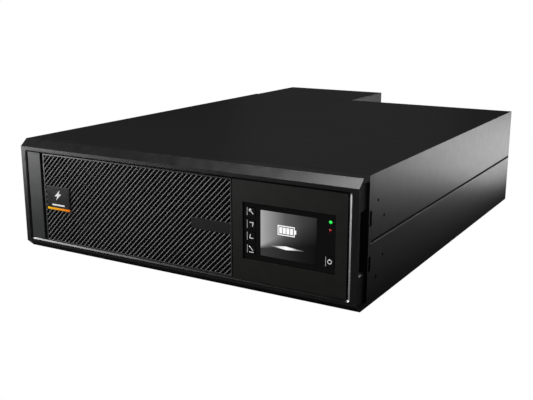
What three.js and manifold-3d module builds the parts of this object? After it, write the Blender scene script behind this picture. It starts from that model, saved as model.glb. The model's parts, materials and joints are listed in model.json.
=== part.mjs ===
// Uninterruptible power supply for a rack or tower, three rack units high.
// Millimetres, +Z up. The front faces -Y, and the origin is on the floor, under the middle of the object.
// Inside this file y is measured back from the front face. The outermost group shifts it to the origin.

import * as THREE from 'three';
import { mergeVertices } from 'three/addons/utils/BufferGeometryUtils.js';
import Module from 'manifold-3d';

// Driving dimensions
const WIDTH = 430;
const HEIGHT = 130;
const BEZEL_DEPTH = 24;
const CHASSIS_BACK = 530;
const POWER_BOX_BACK = 650;
const GLAND_REACH = 22;
const TOTAL_DEPTH = POWER_BOX_BACK + GLAND_REACH;
const SHEET = 1.5;
const GAP = 0.3;
const CLEAR = 1;

const HALF = WIDTH / 2;
const INNER_HALF = HALF - SHEET;

// Bezel
const CHAMFER = { topDepth: 9.4, topDrop: 8, bottomDepth: 9, bottomRise: 8 };
const RIM = { side: 209, bottom: 10, top: 118.4, radius: 3, ledgeFront: 3.3, ledgeBack: 5.3 };
const BEZEL_WALL = { side: 3.5, flat: 2.5, behindSlope: 0.9, lowStep: 1.5, highStep: 1.2 };
const PANEL = { front: 0.8, back: 3, side: 205.5, bottom: 13.2, top: 116.2 };
const STRIP_INNER = -186.6;
const GRILLE_X = [-181.9, 76.2];
const GRILLE_WINDOW = { x: [-178.5, 73], z: [17, 113] };
const DISPLAY_PANEL_X = [77.2, 203.9];
const RING = { left: 2.3, right: 3.1, bottom: 2.2, top: 1.3, front: 0.6, drop: 1, mouth: 0.1 };
const SIDE_RECESS = { z: [5.5, 124.8], y: [4, 21.5], depth: 2.6, backStep: 3.4 };
const POCKET = {
  z: [37, 97.5], front: 6, floor: 203.3, wall: 1.8, topWall: 2, lip: 3, ribYs: [10.5, 16], rib: 1.3,
};
const BADGE = { x: [-177.7, -143.5], z: [54.6, 78.5], thickness: 0.5, stripeZ: [52, 54.3] };
const CATCH = { x: 190, z: 121, width: 12, thickness: 2.5, reach: 28, hook: 1.5 };

// Front frame and the sheets behind it
const FRAME_BACK = 30.3;
const SEAM = { edgeLow: 62.3, ledge: 62.6, coverLow: 65.6, flangeHigh: 78, flangeOuter: 213.2 };
const RELIEF_SLOTS = [[35, 50], [80, 95]];
const EAR_HOLES = [[45, 38.5], [60.6, 20.2]];
const EAR_HOLE_RADIUS = 1.8;
const EAR_HOLE_MIDDLE = 63.8;
const DIVIDER_X = -37.5;
const DIVIDER_NOTCH = { y: [440, 490], low: 90 };
const INTAKE_SLOTS = { x: [-30, 76], pitch: 8, z: [20, 110] };
const DISPLAY_LEAD_HOLE = { x: [135, 147], z: [60, 68] };

// Display module, fixed to the front frame
const DISPLAY_WINDOW = { x: [89.2, 191.9], z: [35.2, 94.3] };
const FASCIA = { front: 2.6, back: 4.2, inset: 0.4 };
const SCREEN = { x: [109.2, 170.8], z: [41.5, 87.7], front: 2.5, cellBack: 8.4, cellMargin: 1.8 };
const KEY = { x: [93.6, 103.2], height: 8.8, zs: [84.7, 71.9, 59.4, 46.2], front: 2, back: 7, lip: 1 };
const POWER_KEY = { x: [181, 190.1], z: [42.5, 52.2] };
const LED = { x: 185.5, radius: 1.5, runZ: 86.1, faultZ: 77.9, front: 2.3, back: 7 };
const HOUSING = { x: [86.2, 195.2], z: [32.5, 97.5], front: 4.5, wall: 2 };
const HOUSING_HOLLOW = { x: [90.7, 191.2], z: [37.5, 93.5] };
const DISPLAY_BOARD = { x: [93.2, 189.2], y: [10, 11.6], z: [40, 91] };

// Battery compartment, on the left
const BATTERY = { width: 151, length: 98, height: 94, count: 4, pitch: 98.6, firstY: 34 };
const TRAY = { x: [-197.5, -40.5], y: [31.5, 430], z: 7, sheet: 1.2, lip: 22 };
const DOOR = { x: [-201, -37.2], z: [3.6, 117], y: [22.2, 23.7] };
const DOOR_OPENING = { x: [-198.5, -39.5], z: [6, 105] };
const DOOR_SLOTS = { x: [-190, -48], pitch: 9, z: [22, 92] };
const DOOR_SCREWS = [[-180, 111], [-58, 111]];
const SCREW = { head: 4.5, headDepth: 2.4, shank: 1.9, hole: 2.2, reach: 8, drive: [6, 1], driveDepth: 1 };

// Power section, on the right
const BOARD = { x: [-28, 206], y: [50, 430], z: 12, thickness: 1.6 };
const CONTROL_BOARD = { x: [-33, -31.4], y: [300, 500], z: [20, 118] };
const HEATSINK = { width: 45, height: 84, length: 230, spine: 6, fin: 2, fins: 9, leftXs: [-22, 150], y: 70 };
const CAPACITOR = { radius: 22, height: 72, x: 85, ys: [100, 155] };
const CHOKE = { ring: 29, tube: 14, x: 90, y: 250 };

// Rear panel
const FAN = { size: 80, depth: 24.7, bore: 38, hub: 17.5, tip: 36.5, blades: 7, z: 66, xs: [168, 86] };
const GUARD = { wire: 2, rings: [13, 24.5, 36] };
const CARD_SLOT = { x: [-30, 38], z: [84, 124] };
const NETWORK_PORT = { x: [-27, -11], z: [60, 74] };
const BATTERY_PORT = {
  x: [-30, 16], z: [20, 48], y: [500, 536], poleOffset: 11, pole: 14, rim: 5, depth: 22,
};
const BOX_WIRING_HOLE = { x: [-150, -100], z: [40, 90] };

// Rear power box
const POWER_BOX = { x: [-212, -38], z: [2, HEIGHT], front: CHASSIS_BACK + GAP };
const TERMINAL_COVER = { x: [-206, -118], z: [8, 66], opening: { x: [-192, -132], z: [16, 58] } };
const GLAND = { xs: [-182, -142], z: 37, thread: 10, nut: 14.5, dome: 12, bore: 6 };
const BREAKER = {
  xs: [-178, -136], width: 36, z: [75, 121], depth: 44, nose: 2, noseHalf: 11, wall: 4,
  pivotY: 646, drum: 7, lever: 16, leverThickness: 5, tilt: 30,
};
const WIDE_OUTLET = { x: -75, z: 104, width: 27, height: 29, depth: 26, face: [22, 24], slot: [5, 1.8] };
const OUTLET_STRIP = {
  x: [-106, -44], z: [14, 78], depth: 24, rows: [31, 61], columns: [-90, -60], face: [24, 17], slot: [1.8, 5],
};
const SOCKET = { moat: 2, moatDepth: 14, slotDepth: 9, slotDrop: 2, earthDrop: 0.6 };
const OUTLET_FACE = POWER_BOX_BACK + 1.2;

const wasm = await Module();
wasm.setup();

// Helpers: plain solids, joined and cut

function toSolid(geometry) {
  const bare = geometry.clone();
  bare.deleteAttribute('normal');
  bare.deleteAttribute('uv');
  const merged = mergeVertices(bare, 1e-4);
  const mesh = new wasm.Mesh({
    numProp: 3,
    vertProperties: Float32Array.from(merged.attributes.position.array),
    triVerts: Uint32Array.from(merged.index.array),
  });
  return new wasm.Manifold(mesh);
}

function toGeometry(solid) {
  const mesh = solid.getMesh();
  const geometry = new THREE.BufferGeometry();
  geometry.setAttribute('position', new THREE.BufferAttribute(Float32Array.from(mesh.vertProperties), 3));
  geometry.setIndex(new THREE.BufferAttribute(Uint32Array.from(mesh.triVerts), 1));
  geometry.computeVertexNormals();
  return geometry;
}

function join(...solids) {
  return solids.flat().reduce((whole, next) => whole.add(next));
}

function cut(solid, ...tools) {
  return tools.flat().reduce((rest, tool) => rest.subtract(tool), solid);
}

function block(x, y, z) {
  const geometry = new THREE.BoxGeometry(x[1] - x[0], y[1] - y[0], z[1] - z[0]);
  geometry.translate((x[0] + x[1]) / 2, (y[0] + y[1]) / 2, (z[0] + z[1]) / 2);
  return toSolid(geometry);
}

// a mirrored pair of blocks, x given for the right-hand one
function blockPair(x, y, z) {
  return [block(x, y, z), block([-x[1], -x[0]], y, z)];
}

function rodAlongY(radius, x, z, y, sides = 20) {
  const geometry = new THREE.CylinderGeometry(radius, radius, y[1] - y[0], sides);
  geometry.translate(x, (y[0] + y[1]) / 2, z);
  return toSolid(geometry);
}

function rodAlongX(radius, y, z, x, sides = 16) {
  const geometry = new THREE.CylinderGeometry(radius, radius, x[1] - x[0], sides);
  geometry.rotateZ(Math.PI / 2);
  geometry.translate((x[0] + x[1]) / 2, y, z);
  return toSolid(geometry);
}

function rodAlongZ(radius, x, y, z, sides = 24) {
  const geometry = new THREE.CylinderGeometry(radius, radius, z[1] - z[0], sides);
  geometry.rotateX(Math.PI / 2);
  geometry.translate(x, y, (z[0] + z[1]) / 2);
  return toSolid(geometry);
}

function outline(points) {
  return new THREE.Shape(points.map(([u, v]) => new THREE.Vector2(u, v)));
}

function roundedRectangle(x, z, radius) {
  const shape = new THREE.Shape();
  shape.absarc(x[1] - radius, z[1] - radius, radius, 0, Math.PI / 2);
  shape.absarc(x[0] + radius, z[1] - radius, radius, Math.PI / 2, Math.PI);
  shape.absarc(x[0] + radius, z[0] + radius, radius, Math.PI, Math.PI * 1.5);
  shape.absarc(x[1] - radius, z[0] + radius, radius, Math.PI * 1.5, Math.PI * 2);
  shape.closePath();
  return shape;
}

// an outline drawn in (y, z), carried along X
function extrudeX(shape, x) {
  const geometry = new THREE.ExtrudeGeometry(shape, { depth: x[1] - x[0], bevelEnabled: false });
  const turn = new THREE.Matrix4().makeBasis(
    new THREE.Vector3(0, 1, 0), new THREE.Vector3(0, 0, 1), new THREE.Vector3(1, 0, 0));
  geometry.applyMatrix4(turn);
  geometry.translate(x[0], 0, 0);
  return toSolid(geometry);
}

// an outline drawn in (x, z), carried along Y
function extrudeY(shape, y, curveSegments = 4) {
  const settings = { depth: y[1] - y[0], bevelEnabled: false, curveSegments };
  const geometry = new THREE.ExtrudeGeometry(shape, settings);
  geometry.rotateX(Math.PI / 2);
  geometry.translate(0, y[1], 0);
  return toSolid(geometry);
}

// a tapered plug between two outlines with the same number of points
function taper(frontShape, frontY, backShape, backY) {
  const front = frontShape.getPoints(4).slice(0, -1);
  const back = backShape.getPoints(4).slice(0, -1);
  const positions = [];
  front.forEach((p) => positions.push(p.x, frontY, p.y));
  back.forEach((p) => positions.push(p.x, backY, p.y));
  const n = front.length;
  const index = [];
  for (let i = 0; i < n; i += 1) {
    const j = (i + 1) % n;
    index.push(i, i + n, j, j, i + n, j + n);
  }
  for (let i = 1; i < n - 1; i += 1) {
    index.push(0, i, i + 1);
    index.push(n, n + i + 1, n + i);
  }
  const geometry = new THREE.BufferGeometry();
  geometry.setAttribute('position', new THREE.BufferAttribute(Float32Array.from(positions), 3));
  geometry.setIndex(index);
  return toSolid(geometry);
}

function piece(parent, name, solid, colour, roughness, metalness = 0) {
  const material = new THREE.MeshStandardMaterial({ color: colour, roughness, metalness });
  const mesh = new THREE.Mesh(toGeometry(solid), material);
  mesh.name = name;
  parent.add(mesh);
  return mesh;
}

function group(parent, x = 0, y = 0, z = 0) {
  const g = new THREE.Group();
  g.position.set(x, y, z);
  parent.add(g);
  return g;
}

// Bezel

function bezelFrame() {
  const back = BEZEL_DEPTH - GAP;
  const side = outline([
    [0, CHAMFER.bottomRise], [CHAMFER.bottomDepth, 0], [back, 0],
    [back, HEIGHT], [CHAMFER.topDepth, HEIGHT], [0, HEIGHT - CHAMFER.topDrop],
  ]);
  const shell = extrudeX(side, [-HALF, HALF]);

  const { flat, behindSlope, lowStep, highStep } = BEZEL_WALL;
  const cavityHalf = HALF - SIDE_RECESS.depth - BEZEL_WALL.side;
  const cavity = extrudeX(outline([
    [RIM.ledgeBack, CHAMFER.bottomRise - lowStep],
    [CHAMFER.bottomDepth + behindSlope, flat],
    [back + CLEAR, flat],
    [back + CLEAR, HEIGHT - flat],
    [CHAMFER.topDepth + behindSlope, HEIGHT - flat],
    [RIM.ledgeBack, HEIGHT - CHAMFER.topDrop + highStep],
  ]), [-cavityHalf, cavityHalf]);

  const rimOpening = extrudeY(
    roundedRectangle([-RIM.side, RIM.side], [RIM.bottom, RIM.top], RIM.radius), [-CLEAR, RIM.ledgeFront]);
  const ledge = [RIM.ledgeFront - CLEAR, RIM.ledgeBack + CLEAR];
  const grilleWindow = block(GRILLE_WINDOW.x, ledge, GRILLE_WINDOW.z);
  const displayWindow = block(
    [HOUSING.x[0] - CLEAR, HOUSING.x[1] + CLEAR], ledge, [HOUSING.z[0] - CLEAR, HOUSING.z[1] + CLEAR]);

  // the side walls stand in from the front flange, and step in again at the back
  const recess = SIDE_RECESS;
  const sideRecess = blockPair([HALF - recess.depth, HALF + CLEAR], recess.y, recess.z);
  const backStep = blockPair(
    [HALF - recess.backStep, HALF + CLEAR], [recess.y[1] - 0.1, BEZEL_DEPTH], recess.z);

  const hollow = cut(shell, cavity, rimOpening, grilleWindow, displayWindow, sideRecess, backStep);
  return join(cut(join(hollow, pocketWalls(cavityHalf, back)), [1, -1].map(pocketRoom)), pocketRibs());
}

// finger pockets, sunk into both sides behind the flange, with a sloped lower lip and two grip ribs
function pocketWalls(cavityHalf, back) {
  return blockPair(
    [POCKET.floor - POCKET.wall, cavityHalf + 0.5], [RIM.ledgeBack - 0.3, back],
    [POCKET.z[0] - POCKET.topWall, POCKET.z[1] + POCKET.topWall]);
}

function pocketRoom(side) {
  const lipX = HALF - SIDE_RECESS.depth - POCKET.lip;
  const outside = HALF + CLEAR;
  const points = [
    [POCKET.floor, POCKET.z[0]], [lipX, POCKET.z[0]], [outside, POCKET.z[0] - (outside - lipX)],
    [outside, POCKET.z[1]], [POCKET.floor, POCKET.z[1]],
  ];
  const room = outline(points.map(([x, z]) => [side * x, z]));
  return extrudeY(room, [POCKET.front, BEZEL_DEPTH + CLEAR]);
}

function pocketRibs() {
  return POCKET.ribYs.flatMap((y) => blockPair(
    [POCKET.floor - POCKET.wall / 2, POCKET.floor + POCKET.rib], [y, y + POCKET.rib], POCKET.z));
}

function trimRing() {
  const edge = { side: RIM.side - GAP, bottom: RIM.bottom + GAP, top: RIM.top - GAP };
  const outer = roundedRectangle([-edge.side, edge.side], [edge.bottom, edge.top], RIM.radius);
  const inner = roundedRectangle(
    [-edge.side + RING.left, edge.side - RING.right],
    [edge.bottom + RING.bottom, edge.top - RING.top], RIM.radius - 1);
  const mouth = roundedRectangle(
    [-edge.side + RING.mouth, edge.side - RING.mouth],
    [edge.bottom + RING.mouth, edge.top - RING.mouth], RIM.radius - RING.mouth);
  const body = extrudeY(outer, [RING.front, PANEL.back]);
  const hole = extrudeY(inner, [-CLEAR, PANEL.back + CLEAR]);
  const slope = taper(mouth, RING.front - 0.01, inner, RING.front + RING.drop);
  return cut(body, hole, slope);
}

function displayPanel() {
  const sheet = block(DISPLAY_PANEL_X, [PANEL.front, PANEL.back], [PANEL.bottom, PANEL.top]);
  return cut(sheet, block(DISPLAY_WINDOW.x, [0, PANEL.back + CLEAR], DISPLAY_WINDOW.z));
}

function bezelCatch(x) {
  const half = CATCH.width / 2;
  const low = CATCH.z - CATCH.thickness / 2;
  const high = CATCH.z + CATCH.thickness / 2;
  const arm = block([x - half, x + half], [RIM.ledgeBack + GAP, CATCH.reach], [low, high]);
  const hookShape = outline(
    [[CATCH.reach - 4, high - 0.1], [CATCH.reach, high - 0.1], [CATCH.reach - 3, high + CATCH.hook]]);
  return join(arm, extrudeX(hookShape, [x - half, x + half]));
}

function addBezel(parent) {
  const bezel = group(parent);
  const face = [PANEL.front, PANEL.back];
  const tall = [PANEL.bottom, PANEL.top];
  const badgeY = [0, BADGE.thickness];
  piece(bezel, 'bezel_frame', bezelFrame(), 0x1d1e1e, 0.45);
  piece(bezel, 'trim_ring', trimRing(), 0x3a3b3c, 0.15, 0.6);
  piece(bezel, 'side_strip', block([-PANEL.side, STRIP_INNER], face, tall), 0x55585a, 0.4);
  piece(bezel, 'grille_panel', block(GRILLE_X, face, tall), 0x303132, 0.5);
  piece(bezel, 'display_panel', displayPanel(), 0x1f1f1d, 0.5);
  piece(bezel, 'badge_plate', block(BADGE.x, badgeY, BADGE.z), 0x1b1c1d, 0.35);
  piece(bezel, 'badge_stripe', block(BADGE.x, badgeY, BADGE.stripeZ), 0xf0a020, 0.4);
  piece(bezel, 'bezel_catch_left', bezelCatch(-CATCH.x), 0x222324, 0.5);
  piece(bezel, 'bezel_catch_right', bezelCatch(CATCH.x), 0x222324, 0.5);
}

// Display module

function keyHole(x, z) {
  return block([x[0] - GAP, x[1] + GAP], [0, FASCIA.back + CLEAR], [z[0] - GAP, z[1] + GAP]);
}

function keySpan(z) {
  return [z - KEY.height / 2, z + KEY.height / 2];
}

function displayFascia() {
  const inset = FASCIA.inset;
  const x = [DISPLAY_WINDOW.x[0] + inset, DISPLAY_WINDOW.x[1] - inset];
  const z = [DISPLAY_WINDOW.z[0] + inset, DISPLAY_WINDOW.z[1] - inset];
  const sheet = block(x, [FASCIA.front, FASCIA.back], z);
  const holes = KEY.zs.map((centre) => keyHole(KEY.x, keySpan(centre)));
  const ledHoles = [LED.runZ, LED.faultZ].map(
    (z1) => rodAlongY(LED.radius + GAP, LED.x, z1, [0, FASCIA.back + CLEAR], 16));
  return cut(sheet, holes, keyHole(POWER_KEY.x, POWER_KEY.z), keyHole(SCREEN.x, SCREEN.z), ledHoles);
}

function lcdScreen() {
  const margin = SCREEN.cellMargin;
  const lens = block(SCREEN.x, [SCREEN.front, FASCIA.back + 1], SCREEN.z);
  const cell = block(
    [SCREEN.x[0] - margin, SCREEN.x[1] + margin], [FASCIA.back + 0.4, SCREEN.cellBack],
    [SCREEN.z[0] - margin, SCREEN.z[1] + margin]);
  return join(lens, cell);
}

// a key cap with a lip above and below it, which holds it behind the fascia
function keyCap(x, z) {
  const cap = block(x, [KEY.front, KEY.back], z);
  const lip = block(x, [FASCIA.back + 0.4, FASCIA.back + 1.6], [z[0] - KEY.lip, z[1] + KEY.lip]);
  return join(cap, lip);
}

function displayHousing() {
  const back = BEZEL_DEPTH - GAP;
  const shell = block(HOUSING.x, [HOUSING.front, back], HOUSING.z);
  const hollow = block(HOUSING_HOLLOW.x, [0, back - HOUSING.wall], HOUSING_HOLLOW.z);
  const leadHole = block(DISPLAY_LEAD_HOLE.x, [0, BEZEL_DEPTH + CLEAR], DISPLAY_LEAD_HOLE.z);
  return cut(shell, hollow, leadHole);
}

function addDisplay(parent) {
  const display = group(parent);
  const keyNames = ['key_escape', 'key_up', 'key_down', 'key_enter'];
  piece(display, 'display_housing', displayHousing(), 0x17181a, 0.6);
  piece(display, 'display_fascia', displayFascia(), 0x0c0d0e, 0.12);
  piece(display, 'lcd_screen', lcdScreen(), 0x777b7c, 0.12);
  piece(display, 'display_board', block(DISPLAY_BOARD.x, DISPLAY_BOARD.y, DISPLAY_BOARD.z), 0x1d5a35, 0.5);
  keyNames.forEach((name, i) => {
    piece(display, name, keyCap(KEY.x, keySpan(KEY.zs[i])), 0x0b0c0d, 0.25);
  });
  piece(display, 'power_key', keyCap(POWER_KEY.x, POWER_KEY.z), 0x0b0c0d, 0.25);
  const run = rodAlongY(LED.radius, LED.x, LED.runZ, [LED.front, LED.back], 16);
  const fault = rodAlongY(LED.radius, LED.x, LED.faultZ, [LED.front, LED.back], 16);
  piece(display, 'run_led', run, 0x20e060, 0.2);
  piece(display, 'fault_led', fault, 0xd04040, 0.2);
}

// Chassis sheets

function slotRow({ x, pitch, z }, y, width = 3.6) {
  const count = Math.floor((x[1] - x[0]) / pitch);
  const first = (x[0] + x[1]) / 2 - (count - 1) * pitch / 2;
  return Array.from({ length: count }, (unused, i) => {
    const centre = first + i * pitch;
    return block([centre - width / 2, centre + width / 2], y, z);
  });
}

function frontFrame() {
  const face = [BEZEL_DEPTH, BEZEL_DEPTH + SHEET];
  const through = [BEZEL_DEPTH - CLEAR, BEZEL_DEPTH + SHEET + CLEAR];
  const pan = cut(
    block([-HALF, HALF], [BEZEL_DEPTH, FRAME_BACK], [0, HEIGHT]),
    block([-INNER_HALF, INNER_HALF], [face[1], FRAME_BACK + CLEAR], [SHEET, HEIGHT - SHEET]));
  const catchHalf = CATCH.width / 2 + 2;
  const catchHoles = [-CATCH.x, CATCH.x].map(
    (x) => block([x - catchHalf, x + catchHalf], through, [CATCH.z - 4, CATCH.z + 5]));
  const reliefs = RELIEF_SLOTS.flatMap(
    (z) => blockPair([INNER_HALF - CLEAR, HALF + CLEAR], [face[1], FRAME_BACK + CLEAR], z));
  const screwHoles = DOOR_SCREWS.map(([x, z]) => rodAlongY(SCREW.hole, x, z, through, 12));
  return cut(
    pan, block(DOOR_OPENING.x, through, DOOR_OPENING.z), catchHoles, reliefs, screwHoles,
    slotRow(INTAKE_SLOTS, through), block(DISPLAY_LEAD_HOLE.x, through, DISPLAY_LEAD_HOLE.z));
}

function earHoles(sign) {
  return EAR_HOLES.map(([y, offset]) => rodAlongX(
    EAR_HOLE_RADIUS, y, EAR_HOLE_MIDDLE + sign * offset, [-HALF - CLEAR, HALF + CLEAR], 12));
}

// the tray's walls turn in at the seam, and their flanges reach up behind the cover
function baseTray() {
  const y = [FRAME_BACK + GAP, CHASSIS_BACK - SHEET - GAP];
  const outer = SEAM.flangeOuter;
  const inner = outer - SHEET;
  const edge = SEAM.ledge - SEAM.edgeLow;
  const right = [
    [HALF, 0], [HALF, SEAM.edgeLow], [HALF - edge, SEAM.ledge],
    [outer, SEAM.ledge], [outer, SEAM.flangeHigh],
    [inner, SEAM.flangeHigh], [inner, SEAM.ledge - SHEET],
    [INNER_HALF, SEAM.ledge - SHEET], [INNER_HALF, SHEET],
  ];
  const left = right.map(([x, z]) => [-x, z]).reverse();
  return cut(extrudeY(outline([...right, ...left]), y), earHoles(-1));
}

function topCover() {
  const y = [FRAME_BACK + GAP, CHASSIS_BACK - SHEET - GAP];
  const low = SEAM.coverLow;
  const channel = cut(
    block([-HALF, HALF], y, [low, HEIGHT]),
    block([-INNER_HALF, INNER_HALF], [y[0] - CLEAR, y[1] + CLEAR], [low - CLEAR, HEIGHT - SHEET]));
  return cut(channel, earHoles(1));
}

function rearPanel() {
  const through = [CHASSIS_BACK - SHEET - CLEAR, CHASSIS_BACK + CLEAR];
  const sheet = block(
    [-HALF + GAP, HALF - GAP], [CHASSIS_BACK - SHEET, CHASSIS_BACK], [GAP, HEIGHT - GAP]);
  const fanHoles = FAN.xs.map((x) => rodAlongY(FAN.bore, x, FAN.z, through, 24));
  const slotOpening = block(
    [CARD_SLOT.x[0] + 7, CARD_SLOT.x[1] - 7], through, [CARD_SLOT.z[0] + 4, CARD_SLOT.z[1] - 4]);
  const portHole = ({ x, z }) => block([x[0] - GAP, x[1] + GAP], through, [z[0] - GAP, z[1] + GAP]);
  const wiringHole = block(BOX_WIRING_HOLE.x, through, BOX_WIRING_HOLE.z);
  return cut(sheet, fanHoles, slotOpening, portHole(NETWORK_PORT), portHole(BATTERY_PORT), wiringHole);
}

function batteryDoor() {
  const through = [DOOR.y[0] - CLEAR, DOOR.y[1] + CLEAR];
  const sheet = block(DOOR.x, DOOR.y, DOOR.z);
  const holes = DOOR_SCREWS.map(([x, z]) => rodAlongY(SCREW.hole, x, z, through, 12));
  return cut(sheet, holes, slotRow(DOOR_SLOTS, through));
}

function doorScrew(x, z) {
  const headBack = DOOR.y[0] - GAP;
  const head = rodAlongY(SCREW.head, x, z, [headBack - SCREW.headDepth, headBack], 16);
  const shank = rodAlongY(SCREW.shank, x, z, [headBack - 0.5, headBack + SCREW.reach], 12);
  const [driveWidth, driveHeight] = SCREW.drive;
  const drive = block(
    [x - driveWidth / 2, x + driveWidth / 2],
    [headBack - SCREW.headDepth - CLEAR, headBack - SCREW.headDepth + SCREW.driveDepth],
    [z - driveHeight / 2, z + driveHeight / 2]);
  return cut(join(head, shank), drive);
}

function addChassis(parent) {
  const chassis = group(parent);
  const steel = (name, solid) => piece(chassis, name, solid, 0x2a2b2c, 0.5, 0.1);
  steel('front_frame', frontFrame());
  steel('base_tray', baseTray());
  steel('top_cover', topCover());
  steel('rear_panel', rearPanel());
  steel('battery_door', batteryDoor());
  const wallY = [FRAME_BACK + GAP, CHASSIS_BACK - SHEET - GAP];
  const wall = block([DIVIDER_X, DIVIDER_X + SHEET], wallY, [SHEET + GAP, HEIGHT - SHEET - GAP]);
  const cableNotch = block(
    [DIVIDER_X - CLEAR, DIVIDER_X + SHEET + CLEAR], DIVIDER_NOTCH.y, [DIVIDER_NOTCH.low, HEIGHT]);
  piece(chassis, 'divider_wall', cut(wall, cableNotch), 0xa8abad, 0.4, 0.8);
  piece(chassis, 'door_screw_left', doorScrew(...DOOR_SCREWS[0]), 0x8a8d90, 0.3, 0.9);
  piece(chassis, 'door_screw_right', doorScrew(...DOOR_SCREWS[1]), 0x8a8d90, 0.3, 0.9);
}

// Batteries

function batteryTray() {
  const { x, y, z, sheet, lip } = TRAY;
  const channel = cut(
    block(x, y, [z, z + lip]),
    block([x[0] + sheet, x[1] - sheet], [y[0] - CLEAR, y[1] - sheet], [z + sheet, z + lip + CLEAR]));
  const runners = [x[0] + 6, x[1] - 16].map((left) => block([left, left + 10], y, [SHEET + GAP, z + 0.1]));
  return join(channel, runners);
}

function batteryBlock() {
  const body = block([-BATTERY.width / 2, BATTERY.width / 2], [0, BATTERY.length], [0, BATTERY.height]);
  const terminals = [-1, 1].map((sign) => {
    const x = sign * (BATTERY.width / 2 - 8);
    return block([x - 3, x + 3], [10, 16], [BATTERY.height - 0.5, BATTERY.height + 5]);
  });
  return join(body, terminals);
}

function addBatteries(parent) {
  const bay = group(parent, (TRAY.x[0] + TRAY.x[1]) / 2, 0, TRAY.z + TRAY.sheet + GAP);
  piece(parent, 'battery_tray', batteryTray(), 0x9a9da0, 0.4, 0.8);
  for (let i = 0; i < BATTERY.count; i += 1) {
    const place = group(bay, 0, BATTERY.firstY + i * BATTERY.pitch, 0);
    piece(place, `battery_block_${i + 1}`, batteryBlock(), 0x34373a, 0.6);
  }
}

// Power section

// a comb of fins on an upright spine, drawn in (x, z)
function heatsink() {
  const { width, height, spine, fin, fins, length } = HEATSINK;
  const step = (height - fin) / (fins - 1);
  const points = [[0, 0]];
  for (let i = 0; i < fins; i += 1) {
    const z = i * step;
    points.push([width, z], [width, z + fin]);
    if (i < fins - 1) points.push([spine, z + fin], [spine, z + step]);
  }
  points.push([0, height]);
  return extrudeY(outline(points), [0, length]);
}

function choke() {
  const geometry = new THREE.TorusGeometry(CHOKE.ring, CHOKE.tube, 10, 24);
  return toSolid(geometry);
}

function addPowerSection(parent) {
  const top = BOARD.z + BOARD.thickness;
  const section = group(parent, 0, 0, top + GAP);
  piece(parent, 'power_board', block(BOARD.x, BOARD.y, [BOARD.z, top]), 0x1d5a35, 0.5);
  const controls = block(CONTROL_BOARD.x, CONTROL_BOARD.y, CONTROL_BOARD.z);
  piece(parent, 'control_board', controls, 0x1d5a35, 0.5);

  ['heatsink_left', 'heatsink_right'].forEach((name, i) => {
    piece(group(section, HEATSINK.leftXs[i], HEATSINK.y, 0), name, heatsink(), 0xb4b7ba, 0.35, 1);
  });
  CAPACITOR.ys.forEach((y, i) => {
    const can = rodAlongZ(CAPACITOR.radius, 0, 0, [0, CAPACITOR.height], 20);
    piece(group(section, CAPACITOR.x, y, 0), `capacitor_${i + 1}`, can, 0x23282e, 0.4);
  });
  piece(group(section, CHOKE.x, CHOKE.y, CHOKE.tube + GAP), 'output_choke', choke(), 0xa55a2a, 0.4, 0.6);
}

// Fans and rear ports

function fanFrame() {
  const half = FAN.size / 2;
  const body = block([-half, half], [-FAN.depth, 0], [-half, half]);
  const bore = rodAlongY(FAN.bore, 0, 0, [-FAN.depth - CLEAR, CLEAR], 24);
  const hub = rodAlongY(FAN.hub, 0, 0, [-FAN.depth, -FAN.depth + 4], 16);
  const strutX = block([-half + 1, half - 1], [-FAN.depth, -FAN.depth + 3], [-2, 2]);
  const strutZ = block([-2, 2], [-FAN.depth, -FAN.depth + 3], [-half + 1, half - 1]);
  return join(cut(body, bore), hub, strutX, strutZ);
}

function fanRotor() {
  const hub = rodAlongY(FAN.hub, 0, 0, [-FAN.depth + 4.5, -2.5], 20);
  const inner = FAN.hub - 3;
  const blades = Array.from({ length: FAN.blades }, (unused, i) => {
    const geometry = new THREE.BoxGeometry(FAN.tip - inner, 1.6, 17);
    geometry.rotateX(THREE.MathUtils.degToRad(55));
    geometry.translate((FAN.tip + inner) / 2, -FAN.depth / 2 + 0.5, 0);
    geometry.rotateY(2 * Math.PI * i / FAN.blades);
    return toSolid(geometry);
  });
  return join(hub, blades);
}

function fanGuard() {
  const y = [GAP, GAP + GUARD.wire];
  const rings = GUARD.rings.map((radius) => cut(
    rodAlongY(radius + GUARD.wire / 2, 0, 0, y, 20),
    rodAlongY(radius - GUARD.wire / 2, 0, 0, [0, 2 * GUARD.wire], 20)));
  const reach = FAN.size / 2 - 3;
  const spokes = [45, 135].map((degrees) => {
    const geometry = new THREE.BoxGeometry(2 * reach * 1.25, GUARD.wire, GUARD.wire);
    geometry.translate(0, (y[0] + y[1]) / 2, 0);
    geometry.rotateY(THREE.MathUtils.degToRad(degrees));
    return toSolid(geometry);
  });
  return join(rings, spokes);
}

function networkPort() {
  const { x, z } = NETWORK_PORT;
  const body = block(x, [CHASSIS_BACK - 18, CHASSIS_BACK + 0.8], z);
  const deep = [CHASSIS_BACK - 13, CHASSIS_BACK + 2];
  const socket = block([x[0] + 2.1, x[1] - 2.1], deep, [z[0] + 2.4, z[1] - 3.2]);
  const latch = block([x[0] + 5, x[1] - 5], deep, [z[1] - 4, z[1] - 1.6]);
  return cut(body, socket, latch);
}

function batteryPort() {
  const { x, y, z, poleOffset, pole, rim, depth } = BATTERY_PORT;
  const body = block(x, y, z);
  const middle = (x[0] + x[1]) / 2;
  const poles = [middle - poleOffset, middle + poleOffset].map((centre) => block(
    [centre - pole / 2, centre + pole / 2], [y[1] - depth, y[1] + CLEAR], [z[0] + rim, z[1] - rim]));
  return cut(body, poles);
}

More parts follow.
